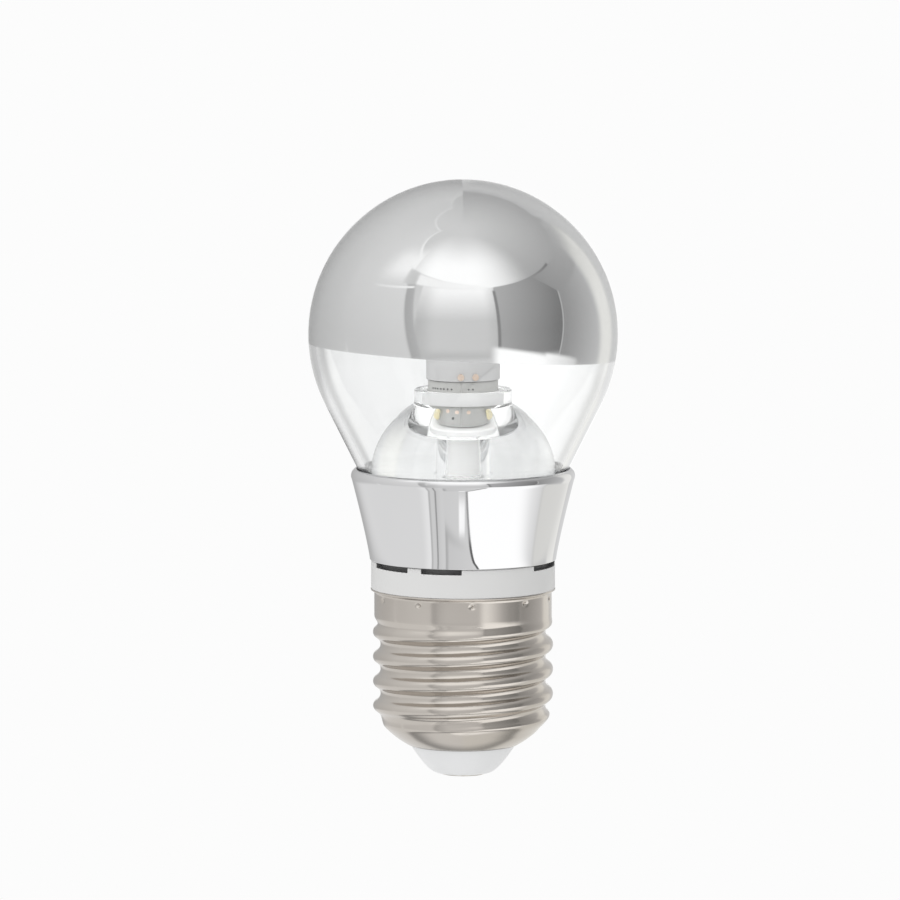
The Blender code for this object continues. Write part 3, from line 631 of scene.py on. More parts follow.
flare = []
for step in range(FLARE_STEPS):
    height = (chrome_height - HOUSING_BEAD) * step / FLARE_STEPS
    flare.append((flare_radius(height), chrome_low.z + height))
bead_foot = chrome_high.z - HOUSING_BEAD
bead = arc(chrome_mouth, bead_foot, HOUSING_LIP_WALL, HOUSING_BEAD, 90, 0, BEAD_STEPS)
bore = HOUSING_FOOT_RADIUS - HOUSING_WALL
ledge_top = chrome_high.z - HOUSING_LEDGE_DROP
ledge_low = ledge_top - HOUSING_LEDGE_THICK
chrome_shape = spun(
    [
        *bead,
        *reversed(flare),
        (bore, chrome_low.z),
        (flare_radius(ledge_low - chrome_low.z) - HOUSING_WALL, ledge_low),
        (bore, ledge_low),
        (bore, ledge_top),
        (flare_radius(ledge_top - chrome_low.z) - HOUSING_WALL, ledge_top),
        (chrome_mouth, bead_foot),
    ],
    steps=CHROME_STEPS,
)
chrome = new_finish("polished chrome plate", Metallic=1.0)
drift_tone(chrome, (0.745, 0.745, 0.75), (0.735, 0.735, 0.74), scale=40.0)
smudge(chrome, 0.03, 0.05, scale=120.0)
grain_bump(chrome, 220.0, 0.01 * MM, strength=0.05)
housing = finished(
    "chrome_housing", chrome_shape, chrome, smooth=30.0, rounding=0.1 * MM, segments=3
)
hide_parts("reflector_housing")


# Base plate and globe seat
# A white lacquered aluminium plate lies on the sleeve's end and carries the lens. A soft white
# seat lies under the globe's neck.

plate_lacquer = new_finish("white lacquered plate", Roughness=0.4)
drift_tone(plate_lacquer, (0.94, 0.94, 0.935), (0.92, 0.92, 0.915), scale=120.0)
grain_bump(plate_lacquer, 1500.0, 0.01 * MM)
dress("base_plate", plate_lacquer)
soft_seat = new_finish("soft white seat", Roughness=0.6)
drift_tone(soft_seat, (0.72, 0.72, 0.71), (0.66, 0.66, 0.65), scale=200.0)
grain_bump(soft_seat, 2500.0, 0.02 * MM, strength=0.4)
dress("globe_seat", soft_seat)


# Post, foot and board
# An aluminium tube stands in the lens's pocket on a round foot, and its hollow tail is rolled out
# under the plate. A thin grey board is wrapped round it and meets in a seam at the front.

POST_RADIUS = 4.3 * MM
BOARD_SEAM = 0.12 * MM
BOARD_SEAM_TURN = -3.0
BOARD_THICK = 0.5 * MM
BOARD_REACH = 0.22 * MM
BOARD_STEPS = 120
GLUE_WIDTH = 0.9 * BOARD_SEAM
GLUE_THICK = 0.8 * BOARD_THICK
GLUE_SHORT = 0.04 * MM
POST_WALL = 1.6 * MM
FOOT_THICK = 0.8 * MM
FOOT_RADIUS = 5.7 * MM
LENS_FLOOR = 4.7 * MM
TAIL_RADIUS = 2.4 * MM
TAIL_BORE = 1.9 * MM
TAIL_RIM = 0.8 * MM
TAIL_RIM_THICK = 0.5 * MM

post_low, post_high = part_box("led_post")
lens_low, lens_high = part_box("inner_lens")
pocket_floor = lens_low.z + LENS_FLOOR
foot_top = pocket_floor + FIT_GAP + FOOT_THICK
tail_top = post_low.z + TAIL_RIM_THICK
post_shape = spun(
    [
        (POST_RADIUS, post_high.z),
        (POST_RADIUS, foot_top),
        (FOOT_RADIUS, foot_top),
        (FOOT_RADIUS, foot_top - FOOT_THICK),
        (TAIL_RADIUS, foot_top - FOOT_THICK),
        (TAIL_RADIUS, tail_top),
        (TAIL_RADIUS + TAIL_RIM, tail_top),
        (TAIL_RADIUS + TAIL_RIM, post_low.z),
        (TAIL_BORE, post_low.z),
        (TAIL_BORE, foot_top),
        (POST_RADIUS - POST_WALL, foot_top),
        (POST_RADIUS - POST_WALL, post_high.z),
    ],
)
bright_lacquer = new_finish("bright white lacquer", Roughness=0.4)
drift_tone(bright_lacquer, (0.95, 0.95, 0.945), (0.93, 0.93, 0.925), scale=120.0)
grain_bump(bright_lacquer, 2500.0, 0.01 * MM)
post = finished("post", post_shape, bright_lacquer, rounding=0.15 * MM)
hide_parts("led_post")


def block_place(turn, out, height, size):
    """Where a block of that size stands, turned to face outwards round the axis."""
    place = Matrix.Translation(direction(turn) * out + Vector((0, 0, height)))
    facing = Matrix.Rotation(math.radians(turn), 4, "Z")
    return place @ facing @ Matrix.Diagonal((*size, 1.0))


board_low, board_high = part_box("led_board")
board_radius = board_high.x
board_top = board_high.z + BOARD_REACH
seam_turn = math.degrees(BOARD_SEAM / board_radius)
board_shape = spun(
    [
        (board_radius, board_top),
        (board_radius, board_low.z),
        (board_radius - BOARD_THICK, board_low.z),
        (board_radius - BOARD_THICK, board_top),
    ],
    steps=BOARD_STEPS,
    angle=FULL_TURN - math.radians(seam_turn),
)
seam_ends = [edge for edge in board_shape.edges if edge.is_boundary]
bmesh.ops.holes_fill(board_shape, edges=seam_ends, sides=4)
turn_round = Matrix.Rotation(math.radians(BOARD_SEAM_TURN + seam_turn / 2 - 90), 4, "Z")
bmesh.ops.transform(board_shape, matrix=turn_round, verts=board_shape.verts)
glue_size = (GLUE_WIDTH, GLUE_THICK, board_top - board_low.z - GLUE_SHORT)
glue_out = board_radius - BOARD_THICK / 2
glue_place = block_place(BOARD_SEAM_TURN, glue_out, (board_low.z + board_top) / 2, glue_size)
filler = bmesh.ops.create_cube(board_shape, size=1.0, matrix=glue_place)
for face in {face for vert in filler["verts"] for face in vert.link_faces}:
    face.material_index = 1
bmesh.ops.recalc_face_normals(board_shape, faces=board_shape.faces)
seam_glue = new_finish("pale glue in the seam", Roughness=0.5)
drift_tone(seam_glue, (0.62, 0.62, 0.61), (0.58, 0.58, 0.57), scale=600.0)
grey_board = new_finish("grey lacquered board", Roughness=0.45)
drift_tone(grey_board, (0.50, 0.50, 0.485), (0.46, 0.46, 0.445), scale=250.0)
grain_bump(grey_board, 3000.0, 0.01 * MM)
board = finished("wrapped_board", board_shape, grey_board, rounding=0.03 * MM)
board.data.materials.append(seam_glue)
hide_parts("led_board")

dress("led_lead_plus", red_sleeving)
dress("led_lead_minus", black_sleeving)


# Light-emitting chips
# Small packages with a yellow phosphor face sunk in a frame, soldered round the board.

CHIP_WIDTH = 1.5 * MM
CHIP_THICK = 0.25 * MM
CHIP_HEIGHT = 1.1 * MM
CHIP_FRAME = 0.12 * MM
CHIP_STEP = 0.04 * MM
CHIP_SINK = 0.05 * MM
CHIP_TURNS = (-45.0, 45.0, 135.0, 225.0)

phosphor = new_finish("yellow phosphor", Roughness=0.45)
drift_tone(phosphor, (0.86, 0.78, 0.48), (0.82, 0.72, 0.40), scale=900.0)
grain_bump(phosphor, 5000.0, 0.01 * MM, strength=0.4)
chip_low, chip_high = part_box("led_chip_1")
chip_z = (chip_low.z + chip_high.z) / 2
chip_out = board_radius + FIT_GAP + CHIP_THICK / 2
chip_size = (CHIP_WIDTH, CHIP_THICK, CHIP_HEIGHT)
for index, turn in enumerate(CHIP_TURNS, start=1):
    chip_shape = bmesh.new()
    chip_place = block_place(turn, chip_out, chip_z, chip_size)
    bmesh.ops.create_cube(chip_shape, size=1.0, matrix=chip_place)
    front = [max(chip_shape.faces, key=lambda face: face.normal.dot(direction(turn)))]
    bmesh.ops.inset_individual(chip_shape, faces=front, thickness=CHIP_FRAME, depth=0)
    bmesh.ops.inset_individual(chip_shape, faces=front, thickness=CHIP_STEP, depth=-CHIP_SINK)
    chip = finished(f"chip_{index}", chip_shape, phosphor, rounding=0.03 * MM)
    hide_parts(f"led_chip_{index}")


# White sleeve, cap and copper pads
# A thin white sleeve hides the upper post behind the mirror's edge, and a disc closes it. Two
# round copper test pads sit near its lower edge.

PAD_TURNS = {"pad_front": -3.3, "pad_right": 18.5}
PAD_RADIUS = 0.5 * MM
PAD_THICK = 0.15 * MM
PAD_STEPS = 32
DISC_TAPER = 0.92

white_low, white_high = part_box("post_sleeve")
white_radius = white_high.x
white_shape = spun(
    [
        (white_radius, white_high.z),
        (white_radius, white_low.z),
        (POST_RADIUS + FIT_GAP, white_low.z),
        (POST_RADIUS + FIT_GAP, white_high.z),
    ],
)
matt_white = new_finish("matt white sleeve", Roughness=0.55)
drift_tone(matt_white, (0.56, 0.56, 0.56), (0.53, 0.53, 0.53), scale=120.0)
grain_bump(matt_white, 2500.0, 0.01 * MM)
white_sleeve = finished("white_sleeve", white_shape, matt_white, rounding=0.08 * MM)
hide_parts("post_sleeve")
cap_low, cap_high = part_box("post_cap")
cap_shape = spun(
    [(0, cap_high.z), (white_radius, cap_high.z), (white_radius, cap_low.z), (0, cap_low.z)],
    closed=False,
)
cap = finished("sleeve_cap", cap_shape, matt_white, rounding=0.15 * MM)
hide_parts("post_cap")

copper = new_finish("bare copper", Metallic=0.6, Roughness=0.4)
drift_tone(copper, (0.90, 0.75, 0.64), (0.85, 0.67, 0.54), scale=1500.0)
grain_bump(copper, 4000.0, 0.01 * MM)


def add_disc(shape, turn, out, height, radius, thick, segments):
    """A thin round disc that faces outwards round the axis."""
    place = Matrix.Translation(direction(turn) * out + Vector((0, 0, height)))
    facing = direction(turn).to_track_quat("Z", "Y").to_matrix().to_4x4()
    bmesh.ops.create_cone(
        shape,
        cap_ends=True,
        segments=segments,
        radius1=radius,
        radius2=radius * DISC_TAPER,
        depth=thick,
        matrix=place @ facing,
    )


pad_out = white_radius + FIT_GAP + PAD_THICK / 2
for name, turn in PAD_TURNS.items():
    pad_low, pad_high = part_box(name)
    pad_z = (pad_low.z + pad_high.z) / 2
    pad_shape = bmesh.new()
    add_disc(pad_shape, turn, pad_out, pad_z, PAD_RADIUS, PAD_THICK, PAD_STEPS)
    pad = finished(f"copper_{name}", pad_shape, copper, rounding=0.02 * MM)
    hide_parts(name)


# Small marks on the board
# Three copper dots and one sensor, in black, are printed and soldered between the front chips, and a
# row of small black dots runs round the board just over the collar as painted shade of the gap there.

MARK_THICK = 0.06 * MM
MARK_SINK = 0.01 * MM
MARK_STEPS = 24
DOT_TURNS = (-26.0, -10.0, 9.0)
DOT_RADIUS = 0.3 * MM
DOT_LIFT = 0.5 * MM
SENSOR_TURN = -16.0
SENSOR_RADIUS = 0.2 * MM
SENSOR_DROP = 0.4 * MM
SHADE_DOT_TURNS = (-58.0, -52.0, -46.0, -39.0, -33.0, -26.0, -19.0, 9.0, 16.0)
SHADE_DOT_RADIUS = 0.13 * MM
SHADE_DOT_LIFT = 0.35 * MM

mark_out = board_radius + MARK_THICK / 2 - MARK_SINK
dots_shape = bmesh.new()
dot_z = chip_z + DOT_LIFT
for turn in DOT_TURNS:
    add_disc(dots_shape, turn, mark_out, dot_z, DOT_RADIUS, MARK_THICK, MARK_STEPS)
dots = finished("board_dots", dots_shape, copper)
sensor_and_shade_shape = bmesh.new()
sensor_z = chip_z - SENSOR_DROP
add_disc(sensor_and_shade_shape, SENSOR_TURN, mark_out, sensor_z, SENSOR_RADIUS, MARK_THICK, MARK_STEPS)
# These black dots are painted shade: they stand for the dark gap where the board meets the lens's collar.
shade_dot_z = lens_high.z + SHADE_DOT_LIFT
for turn in SHADE_DOT_TURNS:
    add_disc(sensor_and_shade_shape, turn, mark_out, shade_dot_z, SHADE_DOT_RADIUS, MARK_THICK, MARK_STEPS)
sensor_and_shade_black = new_finish("black sensor and painted shade", Roughness=0.4)
drift_tone(sensor_and_shade_black, (0.05, 0.05, 0.05), (0.07, 0.07, 0.07), scale=900.0)
sensor = finished("board_sensor_and_shade_dots", sensor_and_shade_shape, sensor_and_shade_black)


# Inner lens
# One thick clear moulding: a dome that spreads the light, and a collar round the pocket for the
# board. A thin white ring centres the collar on the board.

LENS_COLLAR_RADIUS = 7.1 * MM
LENS_COLLAR_HEIGHT = 2.15 * MM
LENS_BORE_RADIUS = 6.0 * MM
LENS_STEPS = 160
DOME_STEPS = 40
RING_OUTER_PLAY = 0.05 * MM
RING_INNER_PLAY = 0.1 * MM

ring_low, ring_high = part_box("lens_ring")
centring_shape = spun(
    [
        (LENS_BORE_RADIUS - RING_OUTER_PLAY, ring_high.z),
        (LENS_BORE_RADIUS - RING_OUTER_PLAY, ring_low.z),
        (board_radius + RING_INNER_PLAY, ring_low.z),
        (board_radius + RING_INNER_PLAY, ring_high.z),
    ],
)
white_lacquer = new_finish("white lacquer", Roughness=0.42)
drift_tone(white_lacquer, (0.76, 0.76, 0.755), (0.74, 0.74, 0.735), scale=120.0)
grain_bump(white_lacquer, 2500.0, 0.01 * MM)
centring = finished("centring_ring", centring_shape, white_lacquer, rounding=0.05 * MM)
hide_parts("lens_ring")

lens_rim = lens_high.x
lens_shoulder = lens_high.z - LENS_COLLAR_HEIGHT
rise = lens_shoulder - lens_low.z
start = math.degrees(math.acos(LENS_COLLAR_RADIUS / lens_rim))
dome_height = rise / math.sin(math.radians(start))
dome = arc(0, lens_low.z, lens_rim, dome_height, start, 0, DOME_STEPS)
lens_shape = spun(
    [
        (LENS_COLLAR_RADIUS, lens_high.z),
        *dome,
        (TAIL_RADIUS + FIT_GAP, lens_low.z),
        (TAIL_RADIUS + FIT_GAP, pocket_floor),
        (LENS_BORE_RADIUS, pocket_floor),
        (LENS_BORE_RADIUS, lens_high.z),
    ],
    steps=LENS_STEPS,
)


def let_light_in(piece):
    """Lets the soft light reach the pieces inside as if this clear or thin piece weren't there."""
    piece.visible_diffuse = False
    piece.visible_shadow = False


clear_acrylic = new_finish("clear acrylic", Transmission_Weight=1.0, IOR=1.49)
drift_tone(clear_acrylic, (0.98, 0.985, 0.985), (0.97, 0.975, 0.975), scale=30.0)
smudge(clear_acrylic, 0.0, 0.02, scale=90.0)
lens = finished(
    "clear_lens", lens_shape, clear_acrylic, smooth=30.0, rounding=0.25 * MM, segments=3
)
let_light_in(lens)
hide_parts("inner_lens")


# Glass globe
# Clear soda glass, blown round and drawn in to a short cone whose end stands in the housing.

GLOBE_WALL = 1.0 * MM
GLOBE_TAPER = 26.57
GLOBE_STEPS = 160
CROWN_STEPS = 64

globe_low, globe_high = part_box("glass_globe")
globe_radius = globe_high.x
globe_centre = globe_high.z - globe_radius


def globe_profile(radius):
    """The globe's outline from its pole to its neck, for one face of the glass."""
    crown = arc(0, globe_centre, radius, radius, 90, -GLOBE_TAPER, CROWN_STEPS)
    slope = math.tan(math.radians(GLOBE_TAPER))
    neck = radius / math.cos(math.radians(GLOBE_TAPER)) - (globe_centre - globe_low.z) * slope
    return [(0, globe_centre + radius), *crown[1:], (neck, globe_low.z)]


outer_glass = globe_profile(globe_radius)
inner_glass = globe_profile(globe_radius - GLOBE_WALL)
globe_shape = spun([*outer_glass, *reversed(inner_glass)], steps=GLOBE_STEPS, closed=False)
clear_glass = new_finish("clear glass", Transmission_Weight=1.0, IOR=1.5)
drift_tone(clear_glass, (0.985, 0.99, 0.99), (0.975, 0.98, 0.98), scale=20.0)
smudge(clear_glass, 0.0, 0.01, scale=60.0)
globe = finished("globe", globe_shape, clear_glass, smooth=60.0)
let_light_in(globe)
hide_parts("glass_globe")


# Mirror coat
# Silver-bright metal laid in vacuum on the inside of the crown, down to the crisp, slightly
# tilted edge of the mask. It bites a hair into the glass, so no air shows between them.

MIRROR_DROP = 2.5 * MM
MIRROR_LEAN = (0.0554, 0.0254, 1.0)
COAT_BITE = 0.09 * MM
COAT_THICK = 0.05 * MM
COAT_END = -15.0
COAT_ROWS = 80

coat_radius = globe_radius - GLOBE_WALL + COAT_BITE
coat_back = coat_radius - COAT_THICK
coat_face = arc(0, globe_centre, coat_radius, coat_radius, 90, COAT_END, COAT_ROWS)
coat_lining = arc(0, globe_centre, coat_back, coat_back, 90, COAT_END, COAT_ROWS)
coat_shape = spun(
    [(0, coat_face[0][1]), *coat_face[1:], *reversed(coat_lining[1:]), (0, coat_lining[0][1])],
    steps=GLOBE_STEPS,
    closed=False,
)
bmesh.ops.bisect_plane(
    coat_shape,
    geom=[*coat_shape.verts, *coat_shape.edges, *coat_shape.faces],
    dist=0.0001 * MM,
    plane_co=(0, 0, globe_centre - MIRROR_DROP),
    plane_no=MIRROR_LEAN,
    clear_inner=True,
)
coat_rim = [edge for edge in coat_shape.edges if edge.is_boundary]
bmesh.ops.bridge_loops(coat_shape, edges=coat_rim)
bmesh.ops.recalc_face_normals(coat_shape, faces=coat_shape.faces)
silver = new_finish("vacuum-laid silver", Metallic=1.0)
drift_tone(silver, (0.755, 0.755, 0.755), (0.745, 0.745, 0.745), scale=30.0)
smudge(silver, 0.01, 0.03, scale=60.0)
coat = finished("mirror_coat", coat_shape, silver, smooth=60.0)
let_light_in(coat)
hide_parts("mirror_lining")


# Studio
# The bulb stands on a plain white floor in a light tent. The world shader is the tent: walls, an
# overhead softbox, a front panel and an opening, each a soft-edged field of directions.

CAMERA_DISTANCE = 1.0
CAMERA_RISE = 6.2
CAMERA_AIM = Vector((-1.9 * MM, 0, 47.5 * MM))
CAMERA_LENS = 275.0
CAMERA_FILM = 36.0
FLOOR_REACH = 4.0
BACKDROP = (0.974, 0.974, 0.974, 1.0)
CHROME_TONE = 0.74
CEILING_GREY = 203
SCREEN_GREY = 250
SCREEN_SHARE = 0.5
CLEAR_CROSSINGS = 4.5
LAMP_STRENGTH = 1.3
LAMP_LOW = 10.0
LAMP_HIGH = 60.0
PANEL_SIZES = ("Left", "Right", "Low Left", "Low Right", "High Left", "High Right", "Lean")
PANEL_EDGES = ("Left Edge", "Right Edge", "Low Edge", "High Edge", "Fade Low", "Fade High")
PANEL_LIGHTS = ("Light Left", "Light Right", "Light Top Left", "Light Top Right")
PANEL_SOCKETS = (*PANEL_SIZES, *PANEL_EDGES, *PANEL_LIGHTS)


def glow(grey):
    """The light that the chrome shows as that grey, of 255, by the screen's own curve."""
    return ((grey / 255 + 0.055) / 1.055) ** 2.4 / CHROME_TONE


def panel_group():
    """One field of the tent, between two azimuths and two slanting lines of elevation."""
    sockets = ("Azimuth", "Elevation", "Behind", *PANEL_SOCKETS)
    group, inlet, outlet = new_group("tent panel", dict.fromkeys(sockets, 0.0), {"Light": 0.0})
    put = inlet.outputs

    def edge(outer, inner, width):
        """The soft edge that is crossed where the inner value passes the outer one."""
        share = maths(group, "DIVIDE", maths(group, "SUBTRACT", inner, outer), width)
        return smooth_step(group, {"Value": share, "From Min": -0.5, "From Max": 0.5})

    def along(value, start, end, first=0.0, last=1.0):
        """How far a value is from start to end, put between first and last."""
        values = {"Value": value, "From Min": start, "From Max": end}
        values.update({"To Min": first, "To Max": last})
        return add_node(group, "ShaderNodeMapRange", values).outputs["Result"]

    def mixed(amount, first, second):
        """A blend of two values."""
        return add_node(group, "ShaderNodeMix", {0: amount, 2: first, 3: second}).outputs[0]

    leaned = maths(group, "MULTIPLY", put["Elevation"], put["Lean"])
    across = maths(group, "ADD", put["Azimuth"], leaned)
    span = (across, put["Left"], put["Right"])
    low = along(*span, put["Low Left"], put["Low Right"])
    high = along(*span, put["High Left"], put["High Right"])
    left_edge = edge(put["Left"], across, put["Left Edge"])
    right_edge = edge(across, put["Right"], put["Right Edge"])
    low_edge = edge(low, put["Elevation"], put["Low Edge"])
    high_edge = edge(put["Elevation"], high, put["High Edge"])
    sides = maths(group, "MULTIPLY", left_edge, right_edge)
    ends = maths(group, "MULTIPLY", low_edge, high_edge)
    sideways = along(*span)
    upwards = along(put["Elevation"], put["Fade Low"], put["Fade High"])
    foot = mixed(sideways, put["Light Left"], put["Light Right"])
    head = mixed(sideways, put["Light Top Left"], put["Light Top Right"])
    light = mixed(upwards, foot, head)
    laid = mixed(maths(group, "MULTIPLY", sides, ends), put["Behind"], light)
    group.links.new(laid, outlet.inputs["Light"])
    return group


scene = bpy.context.scene
world = bpy.data.worlds.new("light tent")
scene.world = world
world.use_nodes = True
world.cycles.sampling_method = "NONE"
sky = world.node_tree
background = sky.nodes["Background"]
facing = add_node(sky, "ShaderNodeTexCoord").outputs["Generated"]
split = add_node(sky, "ShaderNodeSeparateXYZ", {0: facing}).outputs
away = maths(sky, "MULTIPLY", split["Y"], -1.0)
azimuth = maths(sky, "DEGREES", maths(sky, "ARCTAN2", split["X"], away))
elevation = maths(sky, "DEGREES", maths(sky, "ARCSINE", split["Z"]))
tent_panel = panel_group()
tent_light = glow(CEILING_GREY)


def field(name, behind, sides, low, high, lights, edges=(3, 3, 3, 3), lean=0, fade=(0, 40)):
    """One field of the tent laid over what is behind it, as the light of each direction.

    Azimuths count from the camera's side towards the right. Lights are left and right, then the
    same at the top, and edges are the widths at the left, right, bottom and top.
    """
    values = dict(zip(PANEL_SOCKETS, (*sides, *low, *high, lean, *edges, *fade, *lights)))
    values.update({"Azimuth": azimuth, "Elevation": elevation, "Behind": behind})
    laid = add_node(sky, "ShaderNodeGroup", values, node_tree=tent_panel, label=name)
    return laid.outputs["Light"]


def panel(name, sides, low, high, greys, edges=(3, 3, 3, 3), lean=0, fade=(0, 40)):
    """Lays a panel over the tent so far. A top that is as bright as the foot needs no greys."""
    global tent_light
    lights = [glow(grey) for grey in [*greys, *greys][:4]]
    tent_light = field(name, tent_light, sides, low, high, lights, edges, lean, fade)


DOWN = (-100, -100)
WARM = (1.0, 0.995, 0.965, 1.0)

# Ceiling and overhead softbox
panel("ceiling", (50, 215), DOWN, (100, 100), (160, 160, 203, 203), (40, 4, 4, 4), fade=(37, 87))
panel("ceiling", (-215, -140), DOWN, (100, 100), (168, 200, 203, 203), (4, 60, 4, 4), fade=(45, 87))
panel("softbox", (-54, 42), (49, 37.5), (71, 71), (254, 253), (44, 66, 2, 34))

# Left wall, whose top edge climbs towards the back and comes down again
panel("wall's rim", (-195, -168), DOWN, (17, 64.5), (208, 210), (4, 3, 4, 1))
panel("wall's rim", (-171, -138), DOWN, (63.5, 71), (210, 212), (3, 3, 4, 1))
panel("wall's rim", (-140, -100), DOWN, (70.5, 79), (212, 220), (3, 3, 4, 1))
panel("wall's rim", (-102, -55.5), DOWN, (79, 58), (220, 240), (3, 1.5, 4, 1))
panel("left wall", (-195, -168), DOWN, (15.5, 63), (137, 159, 196, 200), (4, 3, 4, 1.5), fade=(0, 50))
panel("left wall", (-171, -138), DOWN, (62, 69.5), (157, 183, 199, 203), (3, 3, 4, 1.5), fade=(0, 50))
panel("left wall", (-140, -100), DOWN, (69, 77.5), (182, 196, 203, 209), (3, 3, 4, 1.5), fade=(0, 50))
panel("left wall", (-102, -57), (32, 32), (77.5, 56), (196, 208, 209, 216), (3, 2, 3, 1.5), fade=(0, 50))
panel("left wall", (-102, -39), DOWN, (37, 38), (196, 206, 209, 216), (3, 3, 4, 3), 0.38, (0, 50))
panel("side lobe", (-84, -56), (37, 43), (58, 62), (232, 244), (24, 2, 14, 14))

# Front panel under the softbox
panel("front edge", (-38, 28), DOWN, (39.5, 40), (184, 186, 226, 222), (2, 2, 3, 2), fade=(14, 38))
panel("front panel", (-28, 22), (-9, -9), (39.5, 40), (201, 198, 246, 246), (16, 12, 8, 2), fade=(15, 37))
panel("dark seam", (-43.5, -35.5), (-14, -14), (40, 40), (166, 176), (3, 3, 3, 8), 0.25)
panel("star", (-59, -47), (38, 39), (50, 44), (204, 196), (5, 4, 2, 3))
panel("seam glint", (-84, -46), (29.5, 36.5), (31, 38), (216, 244), (8, 4, 1, 1))
panel("under the softbox", (-46, 30), (39.5, 39.5), (47.5, 40.5), (240, 248), (4, 6, 2, 2))

# Opening and right wall
panel("opening", (28, 96), (-9, -9), (39.5, 40.5), (164, 96, 172, 120), (2, 2, 3, 1), fade=(6, 36))
panel("opening's edge", (26.5, 29), (-9, -9), (37, 37), (132, 132), (1.5, 1.5, 3, 2))
panel("opening's rim", (80.8, 190), DOWN, (26, 27), (176, 180), (1, 3, 3, 3), -0.26)
panel("right wall", (82.2, 145), DOWN, (28, 28), (142, 200, 146, 184), (1, 3, 3, 6), -0.26, (0, 36))
panel("right wall", (117.3, 190), (25, 25), (39, 39), (146, 172), (1.2, 3, 3, 1.2), 1.2)
panel("warm strip", (127, 149), DOWN, (30, 30), (222, 224, 196, 204), (9, 4, 4, 16), 0, (8, 34))
panel("back right wall", (148, 230), DOWN, (39, 39), (198, 196, 184, 190), (3, 4, 3, 2), 0, (0, 36))
panel("back edge", (163, 179), (-4, -4), (26, 26), (188, 176), (6, 3, 6, 10))

# Lower half, which the flared housing shows
panel("lit floor", (24, 68), DOWN, (-5, -11.5), (254, 254), (10, 10, 3, 4))
panel("lit floor", (47.7, 104), DOWN, (-13, -13), (254, 254), (1, 10, 3, 3), -1.22)
panel("floor's far end", (66, 98), DOWN, (-10, -13), (250, 206), (4, 6, 3, 3))
panel("low right wall", (97, 215), DOWN, (-16, -16), (208, 216), (8, 4, 3, 6))
panel("low left wall", (-215, -41), DOWN, (-15, -15), (210, 212), (4, 2, 3, 8))
panel("front flap", (-43, 22), DOWN, (-14, -14), (200, 208), (2, 2, 3, 6))
panel("lit floor", (47.7, 104), DOWN, (-18, -18), (254, 254), (1, 30, 3, 4), -1.22)
panel("flap glow", (-48, -40), DOWN, (-18, -18), (222, 226), (10, 1, 3, 4))
panel("flap fold", (-40.5, -38.5), DOWN, (-18, -18), (176, 176), (2, 2, 3, 4))
panel("flap line", (-33, -31), DOWN, (-18, -18), (136, 150), (2, 2, 3, 4))
panel("flap shade", (-31, -24), DOWN, (-18, -18), (196, 206), (2, 6, 3, 4))
panel("flap's right edge", (46, 50), DOWN, (-24, -24), (150, 150), (2, 1, 3, 5), -1.22)
panel("bottle", (-22, 4), (-33, -31.5), (-20, -20), (170, 196), (2, 10, 1.5, 4))
panel("bottle's face", (-19, 12), (-32, -30.5), (-20, -20), (196, 204), (4, 6, 2, 4))
panel("lit floor", (48.4, 104), DOWN, (-18, -18), (254, 254), (1, 30, 3, 4), -1.22)
panel("bottle's right edge", (45.8, 48.6), (-32, -32), (-18, -18), (84, 100), (1.5, 1, 2, 4), -1.22)
panel("bottle's neck", (-5, 2), (-35, -35), (-32.7, -32.7), (250, 246), (2, 2, 1, 1))
panel("backdrop", (171, 190), (-16, -16), (4, 4), (232, 234), (4, 4, 3, 3))
panel("backdrop", (-190, -171), (-16, -16), (4, 4), (221, 219), (4, 4, 3, 3))
panel("under the threads", (-230, 230), (-59, -59), (-47, -47), (138, 138), (4, 4, 18, 7))

# A warm cast lies on the strip at the right and on the low wall under it
cast = field("warm strip", 0.0, (127, 149), DOWN, (30, 30), (1, 1, 1, 1), (9, 4, 4, 16))
cast = field("low right wall", cast, (97, 215), DOWN, (-16, -16), (1, 1, 1, 1), (8, 4, 3, 6))
tint = add_node(
    sky, "ShaderNodeMix", {0: cast, 6: (1.0, 1.0, 1.0, 1.0), 7: WARM}, data_type="RGBA"
)

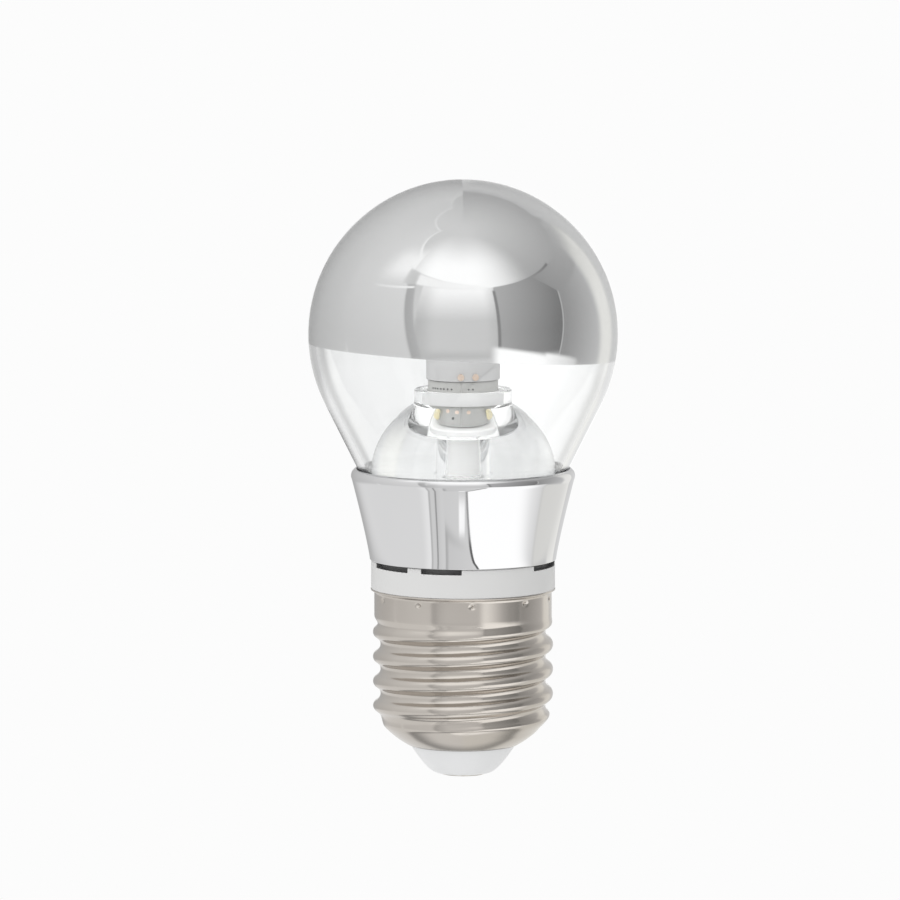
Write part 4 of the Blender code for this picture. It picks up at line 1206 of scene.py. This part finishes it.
# A pale screen brightens light that has crossed more clear walls than the globe's own
path = add_node(sky, "ShaderNodeLightPath").outputs
deep = maths(sky, "GREATER_THAN", path["Transmission Depth"], CLEAR_CROSSINGS)
screen = {0: maths(sky, "MULTIPLY", deep, SCREEN_SHARE), 2: tent_light, 3: glow(SCREEN_GREY)}
screened = add_node(sky, "ShaderNodeMix", screen).outputs[0]
coloured = add_node(
    sky, "ShaderNodeVectorMath", {0: tint.outputs[2], "Scale": screened}, operation="SCALE"
)
sight = {0: path["Is Camera Ray"], 6: coloured.outputs["Vector"], 7: BACKDROP}
seen = add_node(sky, "ShaderNodeMix", sight, data_type="RGBA")
sky.links.new(seen.outputs[2], background.inputs["Color"])

# A soft lamp over the tent lights matt surfaces and shows in no reflection
overhead = smooth_step(
    sky,
    {"Value": elevation, "From Min": LAMP_LOW, "From Max": LAMP_HIGH, "To Max": LAMP_STRENGTH},
)
lamp = maths(sky, "MULTIPLY", overhead, path["Is Diffuse Ray"])
sky.links.new(maths(sky, "ADD", lamp, 1.0), background.inputs["Strength"])

floor_shape = bmesh.new()
bmesh.ops.create_grid(floor_shape, x_segments=4, y_segments=4, size=FLOOR_REACH)
floor_mesh = bpy.data.meshes.new("floor")
floor_shape.to_mesh(floor_mesh)
floor_shape.free()
floor = bpy.data.objects.new("floor", floor_mesh)
scene.collection.objects.link(floor)
floor_white = new_finish(
    "plain white floor",
    Roughness=1.0,
    Base_Color=(0.0, 0.0, 0.0, 1.0),
    Specular_IOR_Level=0.0,
    Emission_Color=BACKDROP,
    Emission_Strength=1.0,
)
floor_white.cycles.emission_sampling = "NONE"
floor_mesh.materials.append(floor_white)
floor.visible_glossy = False
floor.visible_transmission = False

camera_data = bpy.data.cameras.new("camera")
camera_data.lens = CAMERA_LENS
camera_data.sensor_width = CAMERA_FILM
camera_data.clip_start = 0.05
camera_data.clip_end = 20.0
camera = bpy.data.objects.new("camera", camera_data)
scene.collection.objects.link(camera)
rise_angle = math.radians(CAMERA_RISE)
back_off = Vector((0, -math.cos(rise_angle), math.sin(rise_angle)))
camera.location = CAMERA_AIM + CAMERA_DISTANCE * back_off
camera.rotation_euler = (math.pi / 2 - rise_angle, 0, 0)
scene.camera = camera
scene.view_settings.view_transform = "Standard"
scene.view_settings.look = "None"
scene.cycles.max_bounces = 24
scene.cycles.transmission_bounces = 24
scene.cycles.glossy_bounces = 12
